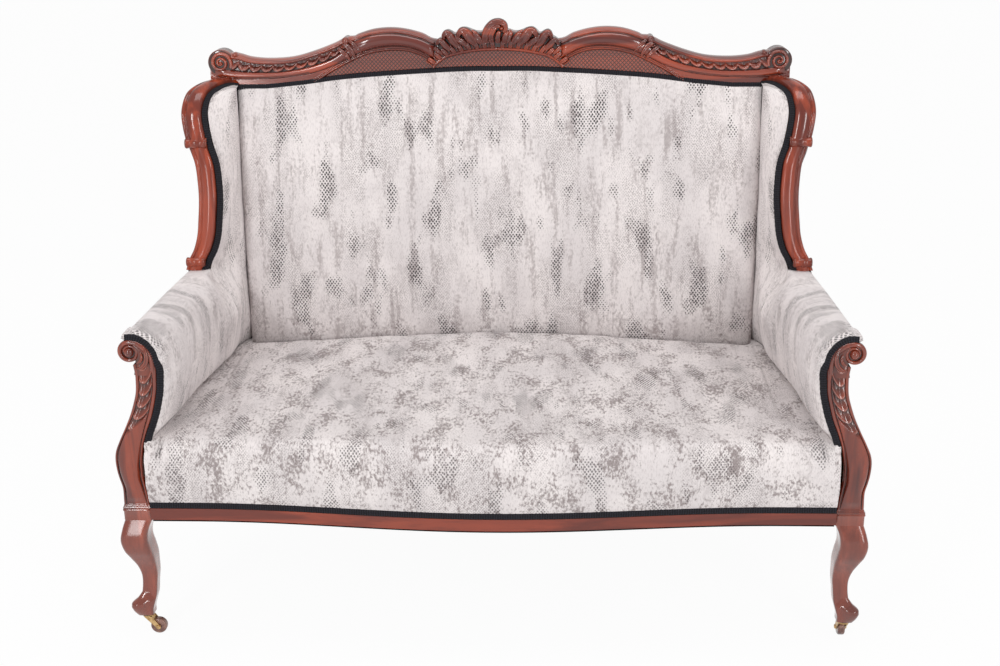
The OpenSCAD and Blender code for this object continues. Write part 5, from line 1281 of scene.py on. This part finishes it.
    # the large curl in the middle, turned a little to one side
    leaves(shell, (
        ([(-26, 1091, 10), (-25, 1104, 15), (-19, 1118, 19), (-8, 1130, 21), (5, 1133, 21), (15, 1128, 20),
          (18, 1119, 19), (13, 1112, 18)], [12, 17, 18, 16, 14, 12, 9, 6], 10),
        ([(-12, 1092, 11), (-13, 1104, 17), (-9, 1115, 21), (-2, 1123, 23), (6, 1124, 23)],
         [11, 14, 13, 10, 6], 9),
        ([(1, 1091, 11), (1, 1101, 16), (3, 1109, 19), (6, 1114, 20)], [11, 13, 11, 6], 8),
        ([(14, 1090, 10), (16, 1100, 14), (19, 1108, 16), (22, 1112, 15)], [11, 14, 12, 6], 8),
    ))
    # painted shade on the face of the disc behind the curl, painted highlight on its boss
    disc(shell, (6.0, 1121.0), 12.5, CREST_Y - 14, CREST_Y + 12, 40, 3.0, dark=1.0)
    ball(shell, (8.5, CREST_Y - 17, 1119.5), 5.2, (1, 1.2, 1), 12, -0.2)
    shell.build("crest_carving", mat=WOOD_X, slot="show_wood", replaces=("crest_shell",), hollows=0.5)


# Wing rails


def make_wing_rail(sign):
    """One wing rail with its two cross rolls."""
    kit = Kit()
    path = even(WING_PATH, 220)
    z = path[:, 2]
    # the section: a broad round on the inner side, a hollow, and a bead on the outer edge
    sec = []
    for a in np.linspace(-0.5, 0.5, 34):
        if a < 0.26:
            t = (a + 0.5) / 0.76
            arch = math.sqrt(max(0.0, 1 - (2 * t - 1) ** 2)) ** 0.8
            o = 0.5 * (0.35 + 0.65 * arch) if 0 < t < 1 else 0.18
        else:
            t = (a - 0.26) / 0.24
            o = 0.16 + 0.17 * math.sqrt(max(0.0, 1 - (2 * t - 1) ** 2))
        sec.append((a, o))
    sec += [(0.5, -0.5), (-0.5, -0.5)]
    sec = np.array(sec)
    t = np.gradient(path, axis=0)
    outward = unit(join(np.zeros(len(path)), t[:, 2], -t[:, 1]))
    w = np.interp(z, [637, 660, 700, 860, 893, 896, 930, 1000], [34, 36, 37, 38, 38, 41, 42, 42])
    # the upper member is thicker and stands in front of the lower one
    upper = (z > 896) | (path[:, 1] > 160)
    dpt = np.where(upper, 30.0, np.interp(z, [637, 700, 860, 896], [24, 25, 25, 22]))
    shift = np.where(upper, 1.5, 0.0)
    across = sec[None, :, 0:1] * w[:, None, None]
    raised = sec[None, :, 1:2] * dpt[:, None, None] + shift[:, None, None]
    ring = path[:, None, :] + np.array([1.0, 0, 0]) * across + outward[:, None, :] * raised
    u = (sec[:, 0] * 40)[None, :].repeat(len(path), 0)
    kit.bar(ring, join(u, z[:, None].repeat(len(sec), 1)))
    # two small rolls across the rail
    for zc, r, half, dx in ((903.0, 11.5, 21.5, 1.0), (655.0, 11.0, 18.5, 1.5)):
        cx = np.interp(zc, z[::-1], path[::-1, 0]) + dx
        cy = np.interp(zc, z[::-1], path[::-1, 1]) - 8.0
        xs = np.concatenate([[-half], np.linspace(-half, half, 24), [half]])
        rad = [0.01]
        for q in np.linspace(-1, 1, 24):
            rad.append(r * (0.93 + 0.07 * math.cos(q * math.pi * 2)) if abs(q) < 0.97 else r * 0.86)
        rad.append(0.01)
        rings = []
        for xx, rr in zip(xs, rad):
            ring = circle(30, rr)
            rings.append(join(cx + xx, cy + ring[:, 0] * 0.95, zc + ring[:, 1] * 0.95))
        kit.grid(np.array(rings), close_v=True)
        # scroll eye on the end that faces the seat
        ey = Kit()
        tt = np.linspace(0, 1, 60)
        a = math.radians(90) + 2 * math.pi * 1.4 * tt
        rr = mix(r * 0.86, r * 0.25, tt)
        p = join(cx - half - 0.3, cy + rr * np.cos(a), zc + rr * np.sin(a))
        ey.bar(tube(p, circle(8, 1.5), up=(-1, 0, 0)))
        kit.add(ey)
    kit, side = sided(kit, sign)
    return kit.build("wing_moulding_" + side, mat=WOOD_WING, slot="show_wood",
                     replaces=("wing_rail_" + side,), hollows=0.5)


# Arm posts

POST_INNER = spline([[651, 282], [653, 309], [656, 330], [658.6, 349], [658.6, 365], [657.9, 381],
                     [652, 418], [643, 445], [632, 472], [624, 500], [618, 527], [616, 550], [615.2, 573],
                     [619, 597], [628, 614], [640, 623.9]], 8)
POST_OUTER = spline([[702, 282], [702, 296], [701.5, 325], [706, 346], [709, 363], [710, 384], [707, 402],
                     [698, 423], [685, 449], [673, 475], [664, 500], [658, 522], [656, 545], [656, 559],
                     [658, 575]], 8)


def make_post(sign):
    """One arm post. f runs from its foot to its top, us from its inner to its outer edge."""
    kit = Kit()
    n = 330
    inn = even(POST_INNER[POST_INNER[:, 1] < 606], n)
    out = even(POST_OUTER, n)
    us = np.linspace(0, 1, 66)
    f = np.linspace(0, 1, n)[:, None]
    w = np.linalg.norm(out - inn, axis=1)[:, None]
    run = run_length((inn + out) / 2)[:, None]
    left = run[-1] - run
    d = us[None, :] * w
    hgt = np.zeros_like(d)
    dark = np.zeros_like(d)
    # smooth band on the inner edge, narrow bead on the outer edge, each with a faint painted highlight
    inner_band = 5.0 + 4.5 * smooth((f - 0.42) / 0.2)
    t = (d - 0.3) / inner_band
    on = (t > 0) & (t < 1)
    hgt = np.where(on, 3.6 * bump01(t), hgt)
    dark = np.where(on, -0.12 * bump01(t), dark)
    outer_band = 4.6 + 3.5 * smooth((f - 0.55) / 0.15)
    t = (d - (w - 0.3 - outer_band)) / outer_band
    on = (t > 0) & (t < 1)
    hgt = np.where(on, 3.4 * bump01(t), hgt)
    dark = np.where(on, -0.12 * bump01(t), dark)
    # the swelling middle, carved towards the top
    a, b = inner_band + 1.2, w - outer_band - 1.2
    t = (d - a) / np.maximum(b - a, 1)
    inside = (t > 0) & (t < 1)
    carved = smooth((f - 0.50 - 0.10 * (1 - t)) / 0.05)
    swell = 0.40 + 0.60 * np.exp(-((f - 0.24) / 0.13) ** 2)
    plain = 1.0 + 10.5 * swell * smooth((f - 0.03) / 0.06) * bump01(np.clip(t, 0, 1)) ** 0.85
    # cupped leaves lying over one another, each with a raised rim; painted shade low in each cup and where
    # its rim drops, painted highlight on the rim
    u = np.clip(t, 0, 1)
    lean = 13.0 * (2 * u - 1) ** 2
    size = 25.0
    ph = (left + lean) / size
    q = ph - np.floor(ph)
    cup = 0.8 + 7.4 * q ** 1.5 * smooth((1 - q) / 0.10)
    rib = np.cos(u * math.pi * 5.0) * 0.5 * (1 - q)
    cups = (cup + rib) * (0.45 + 0.55 * bump01(np.clip(u, 0.01, 0.99)))
    rim = np.exp(-((q - 0.84) / 0.10) ** 2)
    leaf_dark = np.clip(0.95 - 1.1 * q - 1.1 * rim + 0.9 * smooth((q - 0.95) / 0.04), -1.0, 1)
    hgt = np.where(inside, mix(plain, cups, carved), hgt)
    dark = np.where(inside, carved * leaf_dark, dark)
    # fine lines between the bands, painted dark as shade in the grooves
    for k, wide in ((a - 0.6, 0.9), (b + 0.6, 0.9)):
        dark = np.where(np.abs(d - k) < wide, 0.95, dark)
    # the plain foot with its two fillets, which get a painted highlight
    foot = smooth((0.035 - f) / 0.01)
    hgt = mix(hgt, 2.0, foot)
    dark = dark * (1 - foot)
    ring = bump01(np.clip((f - 0.004) / 0.010, 0, 1)) * 2.2 + bump01(np.clip((f - 0.018) / 0.010, 0, 1)) * 1.6
    hgt = hgt + ring
    dark = dark - 0.25 * (ring > 0.5)
    p = inn[:, None, :] + (out - inn)[:, None, :] * us[None, :, None]
    front = join(p[..., 0], POST_Y - hgt, p[..., 1])
    kit.grid(front, dark=dark)
    back = front.copy()
    back[..., 1] = BLOCK_BACK
    kit.grid(back[::6, ::6], flip=True)
    for k, fl in ((0, False), (-1, True)):
        edge = front[:, k]
        wall = np.stack([edge, edge + [0, 3.0, 0], mix(edge, back[:, k], 0.5), back[:, k]], 1)
        kit.grid(wall, flip=fl)
    # volute at the top: painted shade on the disc's face, and on the scroll's ridge painted shade at its foot
    # and painted highlight on its crown
    c = (662.0, 601.0)
    disc(kit, c, 19.5, POST_Y - 1.0, BLOCK_BACK, 60, 2.5, dark=0.95)
    lead = np.array([[622.5, 548], [621.5, 562], [622, 578], [626.5, 596], [635, 609.5], [648, 618.5]])
    turn_a = np.radians(np.linspace(112, 112 - 470, 90))
    turn_r = np.linspace(20.0, 9.8, 90)
    turn = join(c[0] + turn_r * np.cos(turn_a), c[1] + turn_r * np.sin(turn_a))
    line = even(np.vstack([spline(lead, 8), turn]), 190)
    wide = np.interp(np.linspace(0, 1, 190), [0, 0.12, 0.35, 0.6, 1], [1.0, 4.8, 5.2, 4.2, 2.4])
    p = join(line[:, 0], POST_Y - 1.0, line[:, 1])
    ring_shade = [0.7, 0.1, -0.05, -0.2, -0.25, -0.25, -0.25, -0.2, -0.1, 0, 0.1, 0.7, 0.9, 0.9]
    kit.bar(tube(p, half_round(-1.2), scale=join(wide, wide * 1.15)), dark=np.array(ring_shade)[None, :])
    ball(kit, (c[0] + 0.5, POST_Y - 1.5, c[1]), 9.2, (1, 0.95, 1), 16)
    # body between the ring and the post, with painted shade along its two edges
    fill = spline([[622, 556], [621, 585], [630, 607], [650, 619]], 6)
    fo = spline([[657, 556], [652, 585], [652, 600], [656, 612]], 6)
    rows = [join(mix(fill[:, 0], fo[:, 0], k), POST_Y - o, mix(fill[:, 1], fo[:, 1], k))
            for k, o in ((0, 0.0), (0.35, 4.5), (0.7, 4.0), (1, 1.0))]
    kit.grid(np.array(rows), flip=True, dark=np.array([0.6, 0.1, 0.3, 0.9])[:, None])
    # hooked leaf under the boss
    leaf(kit, [(633, POST_Y - 4, 612), (629, POST_Y - 7, 598), (631, POST_Y - 7.5, 583),
               (640, POST_Y - 6.5, 573), (650, POST_Y - 4, 570)],
         [3, 7.5, 9.5, 7.5, 2.5], 5.0, vein=0.35)
    leaf(kit, [(641, POST_Y - 4, 603), (638, POST_Y - 6, 594), (641, POST_Y - 6.5, 586),
               (648, POST_Y - 5, 581)],
         [2.5, 6, 6, 2], 4.0, vein=0.3)
    kit, side = sided(kit, sign)
    kit.build("post_" + side, mat=WOOD_Z, slot="show_wood", replaces=("arm_post_" + side,), hollows=0.25)


# Front legs

LEG = spline([[0, 0.5, 0.56], [0.05, 0.52, 0.58], [0.1, 0.35, 0.6], [0.15, 0.1, 0.6], [0.2, -0.15, 0.58],
              [0.3, -0.36, 0.56], [0.4, -0.46, 0.61], [0.5, -0.26, 0.72], [0.6, 0.14, 0.9],
              [0.69, 0.6, 1.02], [0.8, 0.92, 1.03], [0.9, 0.66, 1.0], [1, 0, 1.03]], 8)


def squared(a, half, power):
    """Distance from the middle to the outline of a round-cornered square in the direction a."""
    return half / (np.abs(np.cos(a)) ** power + np.abs(np.sin(a)) ** power) ** (1 / power)


def make_leg(sign):
    """One front leg with the block over it. LEG gives height, throw and width."""
    kit = Kit()
    steps = 72
    a = np.linspace(0, 2 * math.pi, steps, endpoint=False)
    rows = []
    for h, th, w in LEG:
        throw = th * 11.5
        r = w * 26.0
        toe = 17.0 * np.interp(h, [0, 0.05, 0.10, 0.135, 0.165, 0.22], [0.1, 0.5, 0.9, 1.0, 0.45, 0])
        rad = squared(a, r, 7.0) + toe * np.clip(np.cos(a + math.pi / 4), 0, 1) ** 3.0
        rows.append(join(BLOCK_MID + throw + rad * np.cos(a), LEG_Y - throw + rad * np.sin(a),
                         CASTER_H + 212 * h))
    rows = np.array(rows)
    first = rows[:1].copy()
    c = first.mean(axis=1, keepdims=True)
    foot = np.concatenate([mix(c, first, 0.02), mix(c, first, 0.93)], 0)
    kit.grid(np.concatenate([foot, rows], 0), close_v=True)
    # block between leg and post, with two fillets
    prof = [(-3.0, 252.5), (-0.6, 254.5), (0.0, 257), (0.0, 275.5), (1.0, 276.5), (1.4, 278), (0.6, 279.3),
            (-0.6, 279.8), (0.4, 280.6),
            (0.9, 282), (0.2, 283.4), (-1.4, 284)]
    rows = []
    for o, z in prof:
        rad = squared(a, 27 + o, 14.0)
        rows.append(join(BLOCK_MID + rad * np.cos(a), LEG_Y + rad * np.sin(a), z))
    kit.grid(np.array(rows), close_v=True, caps=True)
    kit, side = sided(kit, sign)
    kit.build("leg_" + side, mat=WOOD_LEG, slot="show_wood", replaces=("front_leg_" + side,), hollows=0.3)


# CAD nodes that stay

KEEP = {
    "front_rail": (WOOD_RAIL, 1.6), "side_rail_left": (WOOD_RAIL, 1.6), "side_rail_right": (WOOD_RAIL, 1.6),
    "rear_leg_left": (WOOD_Z, 2.0), "rear_leg_right": (WOOD_Z, 2.0),
    "caster_sockets": (IRON, 0.3),
}


def dress_nodes():
    """Materials and small bevels for the solids that stay as they are."""
    for name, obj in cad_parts.items():
        o = obj if hasattr(obj, "data") else bpy.data.objects[name]
        mat, bevel = KEEP.get(name, (None, 0))
        if mat is None:
            if name.startswith("caster_wheel"):
                mat = CHINA
            elif name.startswith("caster_fork") or name.startswith("caster_axle"):
                mat = BRASS
                bevel = 0.35 if "fork" in name else 0
            elif "spring" in name and "hessian" not in name or "screw" in name:
                mat = STEEL
            elif "webbing" in name or "hessian" in name:
                mat = JUTE
            else:
                mat = WOOD_FRAME
        o.data.materials.clear()
        o.data.materials.append(mat)
        if bevel:
            b = o.modifiers.new("edges", "BEVEL")
            b.width = bevel * 0.001
            b.segments = 2
            b.limit_method = "ANGLE"
            b.angle_limit = math.radians(40)
            b.harden_normals = False


# Camera, light, floor


def add_camera():
    """The camera that was fitted to the photo: turned, tilted and rolled in degrees."""
    cam = bpy.data.cameras.new("camera")
    obj = bpy.data.objects.new("camera", cam)
    bpy.context.scene.collection.objects.link(obj)
    cam.sensor_width = 36.0
    cam.lens = 1383.47 / 1000 * 36.0
    cam.clip_end = 60
    p, y, r = math.radians(19.04), math.radians(-2.30), math.radians(-0.587)
    fw = Vector((math.sin(y) * math.cos(p), math.cos(y) * math.cos(p), -math.sin(p)))
    rt = Vector((math.cos(y), -math.sin(y), 0))
    up = rt.cross(fw)
    rt2 = rt * math.cos(r) + up * math.sin(r)
    up2 = -rt * math.sin(r) + up * math.cos(r)
    m = Matrix((rt2, up2, -fw)).transposed().to_4x4()
    m.translation = Vector((0.117, -2.671, 1.459))
    obj.matrix_world = m
    bpy.context.scene.camera = obj


def area(name, loc, target, size, power):
    """A rectangular lamp that faces target."""
    lamp = bpy.data.lights.new(name, "AREA")
    lamp.shape = "RECTANGLE"
    lamp.size, lamp.size_y = size
    lamp.energy = power
    o = bpy.data.objects.new(name, lamp)
    bpy.context.scene.collection.objects.link(o)
    o.location = loc
    d = Vector(target) - Vector(loc)
    o.rotation_euler = d.to_track_quat("-Z", "Y").to_euler()


# half the side of the floor, in metres
FLOOR = 14.0


def add_stage():
    """White floor and world, five lamps. Camera and mirror rays see the floor as nearly plain white."""
    scene = bpy.context.scene
    m = Mat("floor")
    m.out(Base_Color=(0.86, 0.86, 0.86), Roughness=0.9, Specular_IOR_Level=0.0)
    rays = m.node("LightPath").outputs
    plain = m.node("Emission", Color=(1, 1, 1), Strength=1.0)
    share = m.mul(m.math("MAXIMUM", rays["Is Camera Ray"], rays["Is Glossy Ray"]), 0.955)
    mixed = m.node("MixShader")
    for socket, source in zip(mixed.inputs, (share, m.b.outputs[0], plain.outputs[0])):
        m.t.links.new(source, socket)
    m.t.links.new(mixed.outputs[0], m.t.nodes["Material Output"].inputs[0])
    mesh = bpy.data.meshes.new("floor")
    mesh.from_pydata([(-FLOOR, -FLOOR, 0), (FLOOR, -FLOOR, 0), (FLOOR, FLOOR, 0), (-FLOOR, FLOOR, 0)], [],
                     [(0, 1, 2, 3)])
    floor = bpy.data.objects.new("floor", mesh)
    mesh.materials.append(m.m)
    scene.collection.objects.link(floor)
    w = bpy.data.worlds.new("world")
    scene.world = w
    w.use_nodes = True
    t = w.node_tree
    dim = t.nodes["Background"]
    seen = t.nodes.new("ShaderNodeBackground")
    for node, power in ((dim, 0.62), (seen, 1.0)):
        node.inputs[0].default_value = (1, 1, 1, 1)
        node.inputs[1].default_value = power
    camera_ray = t.nodes.new("ShaderNodeLightPath").outputs["Is Camera Ray"]
    mixed = t.nodes.new("ShaderNodeMixShader")
    for socket, source in zip(mixed.inputs, (camera_ray, dim.outputs[0], seen.outputs[0])):
        t.links.new(source, socket)
    t.links.new(mixed.outputs[0], t.nodes["World Output"].inputs[0])
    area("key", (-1.9, -3.3, 2.5), (0, 0, 0.6), (0.5, 1.2), 40)
    area("fill", (2.3, -3.0, 2.1), (0, 0, 0.6), (0.45, 1.2), 26)
    area("low_left", (-1.5, -3.3, 0.70), (-0.5, 0, 0.6), (0.32, 1.0), 8.5)
    area("low_right", (1.9, -3.2, 0.70), (0.5, 0, 0.6), (0.32, 1.0), 8.5)
    area("top", (0, -0.3, 3.4), (0, 0.1, 0.5), (2.4, 1.0), 24)
    scene.view_settings.view_transform = "Standard"


add_camera()
add_stage()
dress_nodes()
make_back()
make_seat()
for s in (1, -1):
    make_side(s)
    make_outside(s)
    make_wing_rail(s)
    make_post(s)
    make_leg(s)
make_outside_back()
make_dust_cover()
make_braids()
make_crest()
